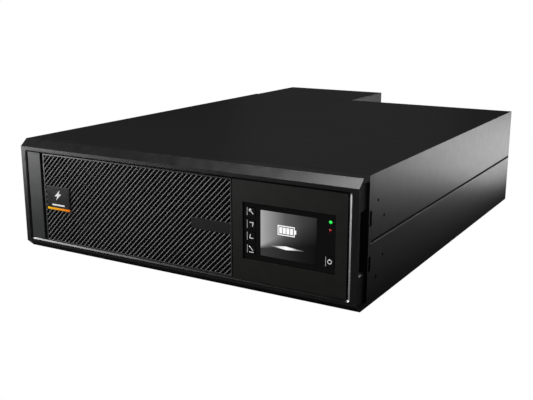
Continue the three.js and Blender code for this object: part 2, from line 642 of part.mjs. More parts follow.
function cardSlotCover() {
  const y = [CHASSIS_BACK + GAP, CHASSIS_BACK + GAP + SHEET];
  const { x, z } = CARD_SLOT;
  const plate = block(x, y, z);
  const thumbscrews = [x[0] + 4.5, x[1] - 4.5].map(
    (centre) => rodAlongY(3.6, centre, (z[0] + z[1]) / 2, [y[0] + 0.5, y[1] + 6], 16));
  return join(plate, thumbscrews);
}

function addRear(parent) {
  const back = CHASSIS_BACK - SHEET - GAP;
  FAN.xs.forEach((x, i) => {
    const inside = group(parent, x, back, FAN.z);
    piece(inside, `fan_frame_${i + 1}`, fanFrame(), 0x16171a, 0.5);
    piece(inside, `fan_rotor_${i + 1}`, fanRotor(), 0x1a1b1e, 0.45);
    piece(group(parent, x, CHASSIS_BACK, FAN.z), `fan_guard_${i + 1}`, fanGuard(), 0xb9bcc0, 0.25, 1);
  });
  piece(parent, 'card_slot_cover', cardSlotCover(), 0x2a2b2c, 0.5, 0.1);
  piece(parent, 'network_port', networkPort(), 0x9da0a3, 0.35, 0.7);
  piece(parent, 'battery_port', batteryPort(), 0x1b1c1f, 0.5);
}

// Rear power box

function portWindow(x, z, y) {
  return block([x[0] - GAP, x[1] + GAP], y, [z[0] - GAP, z[1] + GAP]);
}

function breakerSpan(x) {
  return [x - BREAKER.width / 2, x + BREAKER.width / 2];
}

const OUTLET_X = [WIDE_OUTLET.x - WIDE_OUTLET.width / 2, WIDE_OUTLET.x + WIDE_OUTLET.width / 2];
const OUTLET_Z = [WIDE_OUTLET.z - WIDE_OUTLET.height / 2, WIDE_OUTLET.z + WIDE_OUTLET.height / 2];

function powerBox() {
  const { x, z, front } = POWER_BOX;
  const top = HEIGHT - SHEET - GAP;
  const shell = cut(
    block(x, [front, POWER_BOX_BACK], [z[0], top]),
    block(
      [x[0] + SHEET, x[1] - SHEET], [front - CLEAR, POWER_BOX_BACK - SHEET],
      [z[0] + SHEET, top + CLEAR]));
  const wall = [POWER_BOX_BACK - SHEET - CLEAR, POWER_BOX_BACK + CLEAR];
  const breakerWindows = BREAKER.xs.map((centre) => portWindow(breakerSpan(centre), BREAKER.z, wall));
  const outletWindows = [
    portWindow(OUTLET_X, OUTLET_Z, wall), portWindow(OUTLET_STRIP.x, OUTLET_STRIP.z, wall)];
  const wiring = block(TERMINAL_COVER.opening.x, wall, TERMINAL_COVER.opening.z);
  return cut(shell, breakerWindows, outletWindows, wiring);
}

function terminalCover() {
  const y = [POWER_BOX_BACK + GAP, POWER_BOX_BACK + GAP + SHEET];
  const through = [y[0] - CLEAR, y[1] + CLEAR];
  const holes = GLAND.xs.map((x) => rodAlongY(GLAND.thread + GAP, x, GLAND.z, through, 20));
  return cut(block(TERMINAL_COVER.x, y, TERMINAL_COVER.z), holes);
}

// threaded stub through the cover, hexagonal nut, domed clamping cap and a bore for the cable
function cableGland() {
  const face = GAP + SHEET + GAP;
  const stub = rodAlongY(GLAND.thread, 0, 0, [-6, face + 1], 20);
  const nut = rodAlongY(GLAND.nut, 0, 0, [face, face + 6], 6);
  const collar = rodAlongY(GLAND.dome, 0, 0, [face + 5, face + 14], 20);
  const tip = new THREE.CylinderGeometry(GLAND.dome - 3.5, GLAND.dome, GLAND_REACH - face - 13.9, 20);
  tip.translate(0, (GLAND_REACH + face + 13.9) / 2, 0);
  const bore = rodAlongY(GLAND.bore, 0, 0, [-8, GLAND_REACH + CLEAR], 16);
  return cut(join(stub, nut, collar, toSolid(tip)), bore);
}

// moulded body with a raised nose, hollowed for the toggle's drum
function breakerBody() {
  const half = BREAKER.width / 2;
  const body = block([-half, half], [-BREAKER.depth, -0.4], BREAKER.z);
  const middle = (BREAKER.z[0] + BREAKER.z[1]) / 2;
  const nose = block(
    [-half, half], [-1, BREAKER.nose], [middle - BREAKER.noseHalf, middle + BREAKER.noseHalf]);
  const y = BREAKER.pivotY - POWER_BOX_BACK;
  const room = BREAKER.drum + 0.5;
  const span = [-half + BREAKER.wall, half - BREAKER.wall];
  const drumRoom = rodAlongX(room, y, middle, span, 20);
  const mouth = block(span, [y, BREAKER.nose + CLEAR], [middle - room, middle + room]);
  return cut(join(body, nose), drumRoom, mouth);
}

function breakerToggle() {
  const half = BREAKER.width / 2 - BREAKER.wall - 0.5;
  const drum = rodAlongX(BREAKER.drum, 0, 0, [-half, half], 20);
  const geometry = new THREE.BoxGeometry(2 * half - 4, BREAKER.lever, BREAKER.leverThickness);
  geometry.translate(0, BREAKER.lever / 2, 0);
  geometry.rotateX(THREE.MathUtils.degToRad(BREAKER.tilt));
  return join(drum, toSolid(geometry));
}

// a socket face: a moat around an island with three contact slots
function socketCut(x, z, [width, height], [slotWidth, slotHeight]) {
  const deep = [OUTLET_FACE - SOCKET.moatDepth, OUTLET_FACE + CLEAR];
  const ring = block([x - width / 2, x + width / 2], deep, [z - height / 2, z + height / 2]);
  const island = block(
    [x - width / 2 + SOCKET.moat, x + width / 2 - SOCKET.moat], [deep[0] - CLEAR, deep[1] + CLEAR],
    [z - height / 2 + SOCKET.moat, z + height / 2 - SOCKET.moat]);
  const slot = (cx, cz) => block(
    [cx - slotWidth / 2, cx + slotWidth / 2], [OUTLET_FACE - SOCKET.slotDepth, OUTLET_FACE + CLEAR],
    [cz - slotHeight / 2, cz + slotHeight / 2]);
  const low = z - SOCKET.slotDrop;
  const earth = z + height / 4 - SOCKET.earthDrop;
  return [cut(ring, island), slot(x - width / 4, low), slot(x + width / 4, low), slot(x, earth)];
}

function wideOutlet() {
  const body = block(OUTLET_X, [POWER_BOX_BACK - WIDE_OUTLET.depth, OUTLET_FACE], OUTLET_Z);
  return cut(body, socketCut(WIDE_OUTLET.x, WIDE_OUTLET.z, WIDE_OUTLET.face, WIDE_OUTLET.slot));
}

function outletStrip() {
  const { x, z, rows, columns, face, slot } = OUTLET_STRIP;
  const body = block(x, [POWER_BOX_BACK - OUTLET_STRIP.depth, OUTLET_FACE], z);
  const sockets = rows.flatMap((row) => columns.flatMap((column) => socketCut(column, row, face, slot)));
  return cut(body, sockets);
}

function addPowerBox(parent) {
  const box = group(parent);
  const { x, front } = POWER_BOX;
  const middle = (BREAKER.z[0] + BREAKER.z[1]) / 2;
  piece(box, 'power_box', powerBox(), 0x2a2b2c, 0.5, 0.1);
  const lid = block(x, [front, POWER_BOX_BACK], [HEIGHT - SHEET, HEIGHT]);
  piece(box, 'power_box_lid', lid, 0x2a2b2c, 0.5, 0.1);
  piece(box, 'terminal_cover', terminalCover(), 0x2a2b2c, 0.5, 0.1);
  GLAND.xs.forEach((centre, i) => {
    piece(group(box, centre, POWER_BOX_BACK, GLAND.z), `cable_gland_${i + 1}`, cableGland(), 0x1c1d1f, 0.5);
  });
  ['input_breaker', 'bypass_breaker'].forEach((name, i) => {
    piece(group(box, BREAKER.xs[i], POWER_BOX_BACK, 0), name, breakerBody(), 0xd8d9d6, 0.45);
    const pivot = group(box, BREAKER.xs[i], BREAKER.pivotY, middle);
    piece(pivot, `${name}_toggle`, breakerToggle(), 0x202124, 0.4);
  });
  piece(box, 'wide_outlet', wideOutlet(), 0x18191b, 0.45);
  piece(box, 'outlet_strip', outletStrip(), 0x18191b, 0.45);
}

// Assembly

const ups = new THREE.Group();
const assembly = group(ups, 0, -TOTAL_DEPTH / 2, 0);
addBezel(assembly);
addDisplay(assembly);
addChassis(assembly);
addBatteries(assembly);
addPowerSection(assembly);
addRear(assembly);
addPowerBox(assembly);

export default ups;
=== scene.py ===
# Uninterruptible power supply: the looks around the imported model.
import json
import math

import bmesh
import bpy
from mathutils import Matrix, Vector


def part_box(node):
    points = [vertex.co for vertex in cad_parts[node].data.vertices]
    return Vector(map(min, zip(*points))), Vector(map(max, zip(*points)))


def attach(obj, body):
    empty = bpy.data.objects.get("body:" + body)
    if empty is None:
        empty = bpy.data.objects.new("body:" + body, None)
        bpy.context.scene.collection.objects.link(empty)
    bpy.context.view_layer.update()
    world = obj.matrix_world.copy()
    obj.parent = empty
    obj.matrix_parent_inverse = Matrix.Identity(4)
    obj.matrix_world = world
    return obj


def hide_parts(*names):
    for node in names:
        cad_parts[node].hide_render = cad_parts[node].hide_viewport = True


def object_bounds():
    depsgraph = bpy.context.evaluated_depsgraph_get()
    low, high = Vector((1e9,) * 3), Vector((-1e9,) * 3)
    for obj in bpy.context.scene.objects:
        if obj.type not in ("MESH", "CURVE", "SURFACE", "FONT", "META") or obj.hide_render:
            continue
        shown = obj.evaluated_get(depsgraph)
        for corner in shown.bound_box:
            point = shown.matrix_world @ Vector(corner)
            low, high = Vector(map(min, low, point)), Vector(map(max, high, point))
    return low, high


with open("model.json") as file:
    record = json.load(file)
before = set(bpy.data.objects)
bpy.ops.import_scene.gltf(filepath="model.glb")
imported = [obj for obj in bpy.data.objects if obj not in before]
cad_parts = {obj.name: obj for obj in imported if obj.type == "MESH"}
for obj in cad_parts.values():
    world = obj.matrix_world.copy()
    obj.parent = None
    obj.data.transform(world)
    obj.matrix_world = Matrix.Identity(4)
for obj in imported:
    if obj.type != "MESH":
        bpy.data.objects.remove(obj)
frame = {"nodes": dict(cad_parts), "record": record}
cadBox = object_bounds()
nodes = frame["nodes"]
mm = 0.001
frontY = cadBox[0][1]      # the front face, everything on the bezel is measured back from it

# the camera comes first: front right, a little above
cameraLook = {
    "place": (0.5085, -0.9961, 0.2915),
    "tiltDown": 14.047,
    "turn": 30.644,
    "lens": 55.12,
    "sensor": 36.0,
}


def makeCamera(look):
    data = bpy.data.cameras.new("camera")
    data.lens = look["lens"]
    data.sensor_width = look["sensor"]
    data.clip_start = 0.01
    data.clip_end = 50.0
    camera = bpy.data.objects.new("camera", data)
    camera.location = look["place"]
    camera.rotation_euler = (math.radians(90 - look["tiltDown"]), 0.0, math.radians(look["turn"]))
    bpy.context.scene.collection.objects.link(camera)
    bpy.context.scene.camera = camera


makeCamera(cameraLook)
print("camera ready")


# helpers for node materials
def startMaterial(name):
    mat = bpy.data.materials.new(name)
    mat.use_nodes = True
    tree = mat.node_tree
    shader = tree.nodes["Principled BSDF"]
    coords = tree.nodes.new("ShaderNodeTexCoord")
    return mat, tree, shader, coords


def addNoise(tree, coords, size, detail=2.0, roughness=0.5, stretch=(1, 1, 1)):
    # grains about size metres across
    mapping = tree.nodes.new("ShaderNodeMapping")
    mapping.inputs["Scale"].default_value = stretch
    tree.links.new(coords.outputs["Object"], mapping.inputs["Vector"])
    noise = tree.nodes.new("ShaderNodeTexNoise")
    noise.inputs["Scale"].default_value = 1.0 / size
    noise.inputs["Detail"].default_value = detail
    noise.inputs["Roughness"].default_value = roughness
    tree.links.new(mapping.outputs["Vector"], noise.inputs["Vector"])
    return noise.outputs["Fac"]


def addRamp(tree, source, stops):
    # stops are (position, grey or colour) pairs
    ramp = tree.nodes.new("ShaderNodeValToRGB")
    elements = ramp.color_ramp.elements
    while len(elements) < len(stops):
        elements.new(0.5)
    for element, (position, colour) in zip(elements, stops):
        element.position = position
        element.color = (*colour, 1.0) if hasattr(colour, "__len__") else (colour, colour, colour, 1.0)
    tree.links.new(source, ramp.inputs["Fac"])
    return ramp.outputs["Color"]


def addRoughness(tree, shader, source, middle, spread):
    rough = addRamp(tree, source, [(0.3, middle - spread), (0.7, middle + spread)])
    tree.links.new(rough, shader.inputs["Roughness"])


def addBump(tree, shader, source, depth, before=None):
    bump = tree.nodes.new("ShaderNodeBump")
    bump.inputs["Distance"].default_value = depth
    tree.links.new(source, bump.inputs["Height"])
    if before is not None:
        tree.links.new(before, bump.inputs["Normal"])
    tree.links.new(bump.outputs["Normal"], shader.inputs["Normal"])
    return bump.outputs["Normal"]


def addMath(tree, operation, first, second):
    node = tree.nodes.new("ShaderNodeMath")
    node.operation = operation
    for socket, value in zip(node.inputs, (first, second)):
        if isinstance(value, (int, float)):
            socket.default_value = value
        else:
            tree.links.new(value, socket)
    return node.outputs[0]


def splitPosition(tree, coords):
    parts = tree.nodes.new("ShaderNodeSeparateXYZ")
    tree.links.new(coords.outputs["Object"], parts.inputs["Vector"])
    return parts.outputs


def acrossBox(tree, coords, node, axis=0):
    # 0 at the low side of a node's box, 1 at the high side
    low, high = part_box(node)
    span = tree.nodes.new("ShaderNodeMapRange")
    span.inputs["From Min"].default_value = low[axis]
    span.inputs["From Max"].default_value = high[axis]
    tree.links.new(splitPosition(tree, coords)[axis], span.inputs["Value"])
    return span.outputs["Result"]


def grainedFinish(name, look):
    # colour drifting between two tones, uneven roughness, and a fine moulded or sprayed grain
    mat, tree, shader, coords = startMaterial(name)
    drift = addNoise(tree, coords, look.get("drift", 0.06), 3.0)
    colour = addRamp(tree, drift, [(0.3, look["dark"]), (0.7, look["light"])])
    tree.links.new(colour, shader.inputs["Base Color"])
    patch = addNoise(tree, coords, look.get("patch", 0.012), 4.0)
    addRoughness(tree, shader, patch, look["rough"], look.get("spread", 0.04))
    stretch = look.get("stretch", (1, 1, 1))
    grain = addNoise(tree, coords, look["grain"], 2.0, stretch=stretch)
    first = addBump(tree, shader, grain, look["grainDepth"])
    if "peel" in look:
        peel = addNoise(tree, coords, look["peel"], 1.0)
        addBump(tree, shader, peel, look["peelDepth"], first)
    shader.inputs["Metallic"].default_value = look.get("metal", 0.0)
    shader.inputs["Specular IOR Level"].default_value = look.get("specular", 0.5)
    if "paintedSheen" in look:
        # painted sheen: shinier at the low x side of a node than at the high side, so that side reads as more
        # brightly lit
        node, lowSide, highSide = look["paintedSheen"]
        level = addRamp(tree, acrossBox(tree, coords, node), [(0.0, lowSide), (1.0, highSide)])
        tree.links.new(level, shader.inputs["Specular IOR Level"])
    return mat


finishLooks = {
    "chassis_paint": {"dark": (0.0075, 0.0076, 0.0076), "light": (0.0095, 0.0096, 0.0095), "rough": 0.4,
                      "spread": 0.015, "grain": 0.0004, "grainDepth": 0.00001, "peel": 0.0022,
                      "peelDepth": 0.00001, "drift": 0.15},
    "strip_grey": {"dark": (0.05, 0.052, 0.053), "light": (0.062, 0.064, 0.065), "rough": 0.36,
                   "grain": 0.00035, "grainDepth": 0.00001, "drift": 0.05, "stretch": (6, 6, 1)},
    # the grille carries a painted sheen, falling off from its left side to its right
    "grille_grey": {"dark": (0.046, 0.047, 0.047), "light": (0.058, 0.059, 0.059), "rough": 0.32,
                    "paintedSheen": ("grille_panel", 1.0, 0.4), "grain": 0.0003, "grainDepth": 0.000006},
    "panel_plastic": {"dark": (0.0108, 0.0108, 0.0092), "light": (0.0125, 0.0125, 0.0108), "rough": 0.46,
                      "grain": 0.0004, "grainDepth": 0.000015},
    "badge_black": {"dark": (0.006, 0.006, 0.006), "light": (0.009, 0.009, 0.009), "rough": 0.3,
                    "grain": 0.0005, "grainDepth": 0.000005},
    "display_gloss": {"dark": (0.003, 0.003, 0.003), "light": (0.0045, 0.0045, 0.0045), "rough": 0.1,
                      "spread": 0.02, "grain": 0.004, "grainDepth": 0.000002},
    "name_strip": {"dark": (0.011, 0.011, 0.011), "light": (0.014, 0.014, 0.014), "rough": 0.4,
                   "grain": 0.0004, "grainDepth": 0.00001},
    "key_black": {"dark": (0.0035, 0.0035, 0.0035), "light": (0.005, 0.005, 0.005), "rough": 0.26,
                  "grain": 0.0004, "grainDepth": 0.000008},
    "fault_red": {"dark": (0.6, 0.04, 0.04), "light": (0.7, 0.05, 0.05), "rough": 0.2,
                  "grain": 0.0005, "grainDepth": 0.000003},
    "housing_plastic": {"dark": (0.006, 0.006, 0.006), "light": (0.01, 0.01, 0.01), "rough": 0.5,
                        "grain": 0.0004, "grainDepth": 0.00002},
    "zinc_sheet": {"dark": (0.42, 0.43, 0.44), "light": (0.55, 0.56, 0.57), "rough": 0.35, "metal": 1.0,
                   "drift": 0.01, "grain": 0.0006, "grainDepth": 0.000008},
    "bright_steel": {"dark": (0.5, 0.5, 0.51), "light": (0.6, 0.6, 0.61), "rough": 0.22, "metal": 1.0,
                     "grain": 0.0005, "grainDepth": 0.000004},
    "battery_case": {"dark": (0.02, 0.022, 0.024), "light": (0.028, 0.03, 0.032), "rough": 0.5,
                     "grain": 0.0006, "grainDepth": 0.00003},
    "heatsink_aluminium": {"dark": (0.55, 0.56, 0.57), "light": (0.65, 0.66, 0.67), "rough": 0.38,
                           "metal": 1.0, "grain": 0.0005, "grainDepth": 0.00001, "stretch": (1, 0.05, 1)},
    "capacitor_sleeve": {"dark": (0.006, 0.009, 0.02), "light": (0.01, 0.014, 0.03), "rough": 0.25,
                         "grain": 0.0006, "grainDepth": 0.00001},
    "fan_black": {"dark": (0.007, 0.007, 0.007), "light": (0.011, 0.011, 0.011), "rough": 0.4,
                  "grain": 0.0004, "grainDepth": 0.00001},
    "socket_black": {"dark": (0.008, 0.008, 0.008), "light": (0.013, 0.013, 0.013), "rough": 0.42,
                     "grain": 0.0004, "grainDepth": 0.00001},
    "breaker_grey": {"dark": (0.5, 0.5, 0.48), "light": (0.58, 0.58, 0.56), "rough": 0.4,
                     "grain": 0.0004, "grainDepth": 0.00001},
    "toggle_black": {"dark": (0.008, 0.008, 0.008), "light": (0.012, 0.012, 0.012), "rough": 0.35,
                     "grain": 0.0004, "grainDepth": 0.00001},
}

# the bezel moulding: satin in front, coarse and dull on its sides, where its colour is also painted darker as
# shade
finishLooks["bezel_plastic"] = {"dark": (0.0105, 0.0107, 0.011), "light": (0.013, 0.0132, 0.0136),
                                "rough": 0.33, "grain": 0.0004, "grainDepth": 0.000012,
                                "peel": 0.0015, "peelDepth": 0.00001}
# the sides' darker colour is painted shade; their roughness and low shine are the moulding's own
bezelSideDullAndShadedLook = {"dark": (0.006, 0.006, 0.006), "light": (0.01, 0.01, 0.01), "rough": 0.75, "specular": 0.12,
                 "grain": 0.0007, "grainDepth": 0.00006, "patch": 0.004, "spread": 0.08}


# trim ring: metal foil with painted reflections, a painted highlight along the bottom that fades from the
# left end to dark, and a bright painted highlight up the right side
trimPaintedReflectionLook = {"paintedReflection": [(0.0, 0.24), (0.05, 0.14), (0.1, 0.13), (0.3, 0.1), (0.6, 0.06), (0.988, 0.045),
                      (0.993, 0.9)],
            "rough": 0.32, "spread": 0.03, "patch": 0.006}
grooveLook = {"dark": (0.003, 0.003, 0.003), "light": (0.005, 0.005, 0.005), "rough": 0.35,
              "grain": 0.0006, "grainDepth": 0.000004}
# painted shade: near black for the tray's flange in the seam under the cover
seamShadeLook = {"dark": (0.002, 0.002, 0.002), "light": (0.003, 0.003, 0.003), "rough": 0.8, "specular": 0.05,
            "grain": 0.0006, "grainDepth": 0.00001}

# coloured stripe: yellow at the left running into orange at the right, painted with a glow as if lit, though
# it is print
stripeLook = {"stops": [(0.0, (1.0, 0.56, 0.0)), (0.4, (1.0, 0.4, 0.0)), (1.0, (0.9, 0.2, 0.0))],
              "rough": 0.5, "spread": 0.04, "patch": 0.004, "specular": 0.15, "glow": 0.4}


def trimFinish(look):
    mat, tree, shader, coords = startMaterial("trim_gloss")
    # the foil's colour is a painted reflection, ramped across the ring's width
    tone = addRamp(tree, acrossBox(tree, coords, "trim_ring"), look["paintedReflection"])
    tree.links.new(tone, shader.inputs["Base Color"])
    patch = addNoise(tree, coords, look["patch"], 3.0)
    addRoughness(tree, shader, patch, look["rough"], look["spread"])
    shader.inputs["Metallic"].default_value = 1.0
    return mat


def stripeFinish(look):
    mat, tree, shader, coords = startMaterial("badge_orange")
    colour = addRamp(tree, acrossBox(tree, coords, "badge_stripe"), look["stops"])
    tree.links.new(colour, shader.inputs["Base Color"])
    # painted glow: the stripe's colour also shines as emission
    tree.links.new(colour, shader.inputs["Emission Color"])
    shader.inputs["Emission Strength"].default_value = look["glow"]
    shader.inputs["Specular IOR Level"].default_value = look["specular"]
    addRoughness(tree, shader, addNoise(tree, coords, look["patch"], 3.0), look["rough"], look["spread"])
    return mat


# lit screen: a pale glow in the upper left, darker below a slanting edge that fades towards the middle
screenLook = {
    "across": [(0.0, 0.42), (0.15, 0.3), (0.45, 0.1), (0.75, 0.045), (1.0, 0.022)],
    "lower": [(0.0, 0.04), (0.3, 0.024), (0.7, 0.006), (1.0, 0.0)],
    "edge": 0.2,            # height of the slanting edge at the left side, as a share of the screen
    "rise": 0.5,
    "soft": (0.06, 0.55),    # width of the edge at the left and right sides
    "rough": 0.1,
}


def screenFinish(look):
    mat, tree, shader, coords = startMaterial("screen")
    across = acrossBox(tree, coords, "lcd_screen", 0)
    up = acrossBox(tree, coords, "lcd_screen", 2)
    bright = addRamp(tree, across, look["across"])
    dim = addRamp(tree, across, look["lower"])
    edge = addMath(tree, "ADD", addMath(tree, "MULTIPLY", across, look["rise"]), look["edge"])
    narrow, wide = look["soft"]
    soft = addMath(tree, "ADD", addMath(tree, "MULTIPLY", across, wide - narrow), narrow)
    above = addMath(tree, "DIVIDE", addMath(tree, "SUBTRACT", up, edge), soft)
    share = addRamp(tree, addMath(tree, "ADD", above, 0.5), [(0.0, 0.0), (1.0, 1.0)])
    blend = tree.nodes.new("ShaderNodeMix")
    blend.data_type = "RGBA"
    tree.links.new(share, blend.inputs["Factor"])
    tree.links.new(dim, blend.inputs[6])
    tree.links.new(bright, blend.inputs[7])
    tree.links.new(blend.outputs[2], shader.inputs["Emission Color"])
    shader.inputs["Emission Strength"].default_value = 1.0
    shader.inputs["Base Color"].default_value = (0.004, 0.004, 0.004, 1)
    shader.inputs["Roughness"].default_value = look["rough"]
    return mat


# printed marks, painted with a glow as if lit though print gives no light, and the screen's lit marks
markLook = {"dark": (0.62, 0.62, 0.62), "light": (0.75, 0.75, 0.75), "rough": 0.5, "glow": 0.6}


def markFinish(look):
    mat, tree, shader, coords = startMaterial("white_print")
    speckle = addNoise(tree, coords, 0.0006, 3.0)
    colour = addRamp(tree, speckle, [(0.3, look["dark"]), (0.7, look["light"])])
    tree.links.new(colour, shader.inputs["Base Color"])
    # emission: a painted glow on the printed marks, real light on the screen's marks
    tree.links.new(colour, shader.inputs["Emission Color"])
    shader.inputs["Emission Strength"].default_value = look["glow"]
    shader.inputs["Roughness"].default_value = look["rough"]
    return mat


# a lit lamp lens
lampLook = {"colour": (0.01, 0.75, 0.06), "glow": 0.9, "paler": 1.4, "blend": 0.4,
            "rough": 0.2, "spread": 0.05, "patch": 0.001}


def lampFinish(name, look):
    # paler in the middle, where the lens faces the viewer
    mat, tree, shader, coords = startMaterial(name)
    weight = tree.nodes.new("ShaderNodeLayerWeight")
    weight.inputs["Blend"].default_value = look["blend"]
    pale = tuple(min(1.0, c * look["paler"] + 0.02) for c in look["colour"])
    tone = addRamp(tree, weight.outputs["Facing"], [(0.0, pale), (0.7, look["colour"])])
    tree.links.new(tone, shader.inputs["Base Color"])
    tree.links.new(tone, shader.inputs["Emission Color"])
    shader.inputs["Emission Strength"].default_value = look["glow"]
    addRoughness(tree, shader, addNoise(tree, coords, look["patch"], 2.0), look["rough"], look["spread"])
    return mat


# printed board: green lacquer over copper tracks
boardLook = {"mask": (0.008, 0.07, 0.025), "track": (0.02, 0.14, 0.05), "cell": 0.004, "rough": 0.3}


def boardFinish(look):
    mat, tree, shader, coords = startMaterial("circuit_board")
    tracks = tree.nodes.new("ShaderNodeTexBrick")
    tracks.inputs["Scale"].default_value = 1.0 / look["cell"]
    tracks.inputs["Mortar Size"].default_value = 0.06
    tracks.inputs["Color1"].default_value = (0.0, 0.0, 0.0, 1)
    tracks.inputs["Color2"].default_value = (0.25, 0.25, 0.25, 1)
    tracks.inputs["Mortar"].default_value = (1.0, 1.0, 1.0, 1)
    tree.links.new(coords.outputs["Object"], tracks.inputs["Vector"])
    colour = addRamp(tree, tracks.outputs["Color"], [(0.1, look["mask"]), (0.9, look["track"])])
    tree.links.new(colour, shader.inputs["Base Color"])
    addBump(tree, shader, tracks.outputs["Color"], 0.00003)
    shader.inputs["Roughness"].default_value = look["rough"]
    return mat


# copper winding: wire wrapped round the ring, seen as fine ridges
windingLook = {"dark": (0.35, 0.11, 0.03), "light": (0.62, 0.24, 0.09), "wire": 0.0018, "rough": 0.28}


def windingFinish(look):
    mat, tree, shader, coords = startMaterial("copper_winding")
    wires = tree.nodes.new("ShaderNodeTexWave")
    wires.inputs["Scale"].default_value = 0.3 / look["wire"]
    wires.inputs["Distortion"].default_value = 0.4
    tree.links.new(coords.outputs["Object"], wires.inputs["Vector"])
    colour = addRamp(tree, wires.outputs["Fac"], [(0.1, look["dark"]), (0.6, look["light"])])
    tree.links.new(colour, shader.inputs["Base Color"])
    addBump(tree, shader, wires.outputs["Fac"], 0.0004)
    shader.inputs["Metallic"].default_value = 1.0
    shader.inputs["Roughness"].default_value = look["rough"]
    return mat


finishes = {name: grainedFinish(name, look) for name, look in finishLooks.items()}
finishes["trim_gloss"] = trimFinish(trimPaintedReflectionLook)
finishes["badge_orange"] = stripeFinish(stripeLook)
finishes["screen"] = screenFinish(screenLook)
finishes["run_green"] = lampFinish("run_green", lampLook)
finishes["circuit_board"] = boardFinish(boardLook)
finishes["copper_winding"] = windingFinish(windingLook)
groovePaint = grainedFinish("groove_black", grooveLook)
seamPaintedShade = grainedFinish("seam_painted_shade", seamShadeLook)
bezelSideDullAndShaded = grainedFinish("bezel_side_dull_and_shaded", bezelSideDullAndShadedLook)
whitePrint = markFinish(markLook)

for row in frame["record"]["subparts"]:
    mesh = nodes[row["node"]].data
    mesh.materials.clear()
    mesh.materials.append(finishes[row["material_slot"]])
print("finishes on", len(nodes), "pieces")


# helpers for meshes
def newPiece(name, bm, finish, body, smoothAngle=None):
    bmesh.ops.recalc_face_normals(bm, faces=bm.faces)
    mesh = bpy.data.meshes.new(name)
    bm.to_mesh(mesh)
    bm.free()
    mesh.materials.append(finish)
    if smoothAngle is not None:
        mesh.polygons.foreach_set("use_smooth", [True] * len(mesh.polygons))
        mesh.set_sharp_from_angle(angle=math.radians(smoothAngle))
    thing = bpy.data.objects.new(name, mesh)
    bpy.context.scene.collection.objects.link(thing)
    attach(thing, body)
    return thing


def addPrism(bm, outline, lowY, highY, bevel=0.0):
    # an outline of (x, z) points given a thickness along Y
    front = [bm.verts.new((x, lowY, z)) for x, z in outline]
    back = [bm.verts.new((x, highY, z)) for x, z in outline]
    faces = [bm.faces.new(front), bm.faces.new(list(reversed(back)))]
    for i in range(len(outline)):
        j = (i + 1) % len(outline)
        faces.append(bm.faces.new((front[j], front[i], back[i], back[j])))
    if bevel:
        edges = {e for f in faces for e in f.edges}
        bmesh.ops.bevel(bm, geom=list(edges), offset=bevel, segments=2, affect="EDGES", profile=0.5)


def addBox(bm, low, high, bevel=0.0):
    corners = [(low[0], low[2]), (high[0], low[2]), (high[0], high[2]), (low[0], high[2])]
    addPrism(bm, corners, low[1], high[1], bevel)


def circle(centre, radius, steps):
    # points round a line along Y through centre
    turn = [2 * math.pi * i / steps for i in range(steps)]
    return [centre + radius * Vector((math.cos(a), 0, math.sin(a))) for a in turn]


def addLathe(bm, profile, segments, place):
    # a closed profile of (radius, distance along Y) points spun round a line along Y through place
    rings = []
    for radius, along in profile:
        middle = place + Vector((0, along, 0))
        points = circle(middle, radius, segments) if radius > 0 else [middle]
        rings.append([bm.verts.new(point) for point in points])
    for a, b in zip(rings, rings[1:] + rings[:1]):
        if len(a) == 1 and len(b) == 1:
            continue
        for i in range(segments):
            j = (i + 1) % segments
            corners = [a[i % len(a)], a[j % len(a)], b[j % len(b)], b[i % len(b)]]
            bm.faces.new(list(dict.fromkeys(corners)))


def addTube(bm, points, radius, sides=10, closed=False):
    # a round wire along a list of points
    rings = []
    count = len(points)
    for i, point in enumerate(points):
        before = points[i - 1] if i or closed else point
        after = points[(i + 1) % count] if i < count - 1 or closed else point
        along = (after - before).normalized()
        side = along.cross(Vector((0, 1, 0)))
        side = side.normalized() if side.length > 1e-6 else Vector((1, 0, 0))
        other = along.cross(side).normalized()
        ring = []
        for k in range(sides):
            a = 2 * math.pi * k / sides
            ring.append(bm.verts.new(point + radius * (math.cos(a) * side + math.sin(a) * other)))
        rings.append(ring)
    pairs = list(zip(rings, rings[1:] + rings[:1])) if closed else list(zip(rings, rings[1:]))
    for a, b in pairs:
        for i in range(sides):
            j = (i + 1) % sides
            bm.faces.new((a[i], a[j], b[j], b[i]))
    if not closed:
        bm.faces.new(list(reversed(rings[0])))
        bm.faces.new(rings[-1])


def roundEdges(things, width, segments=2):
    # small rounded edges that catch the light
    for thing in things:
        bevel = thing.modifiers.new("edges", "BEVEL")
        bevel.width = width
        bevel.segments = segments
        bevel.limit_method = "ANGLE"
        bevel.angle_limit = math.radians(40)
        bevel.use_clamp_overlap = False


# bezel and tray: their own shapes with rounded edges, and a second finish on some faces, painted darker as
# shade
bezelShell = {"edge": 0.45 * mm, "segments": 3, "sideways": 0.8}
trayShell = {"edge": 0.2 * mm, "segments": 2, "sideways": 0.9, "inset": 1.7 * mm}


def makeShell(name, node, body, slot, second, isSecond, look):
    bm = bmesh.new()
    bm.from_mesh(nodes[node].data)
    shell = newPiece(name, bm, finishes[slot], body)
    shell.data.materials.append(second)
    for face in shell.data.polygons:
        face.material_index = 1 if isSecond(face) else 0
    roundEdges([shell], look["edge"], look["segments"])
    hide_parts(node)


def isBezelSide(face):
    return abs(face.normal.x) > bezelShell["sideways"]


def isSeamFlange(face):
    # the tray's upright flange behind the cover, painted near black as the shade in the gap between them
    inset = cadBox[1][0] - abs(face.center.x)
    return abs(face.normal.x) > trayShell["sideways"] and inset > trayShell["inset"]


makeShell("bezel_shell", "bezel_frame", "bezel", "bezel_plastic", bezelSideDullAndShaded, isBezelSide, bezelShell)
makeShell("tray_shell", "base_tray", "chassis", "chassis_paint", seamPaintedShade, isSeamFlange, trayShell)
print("shells ready")

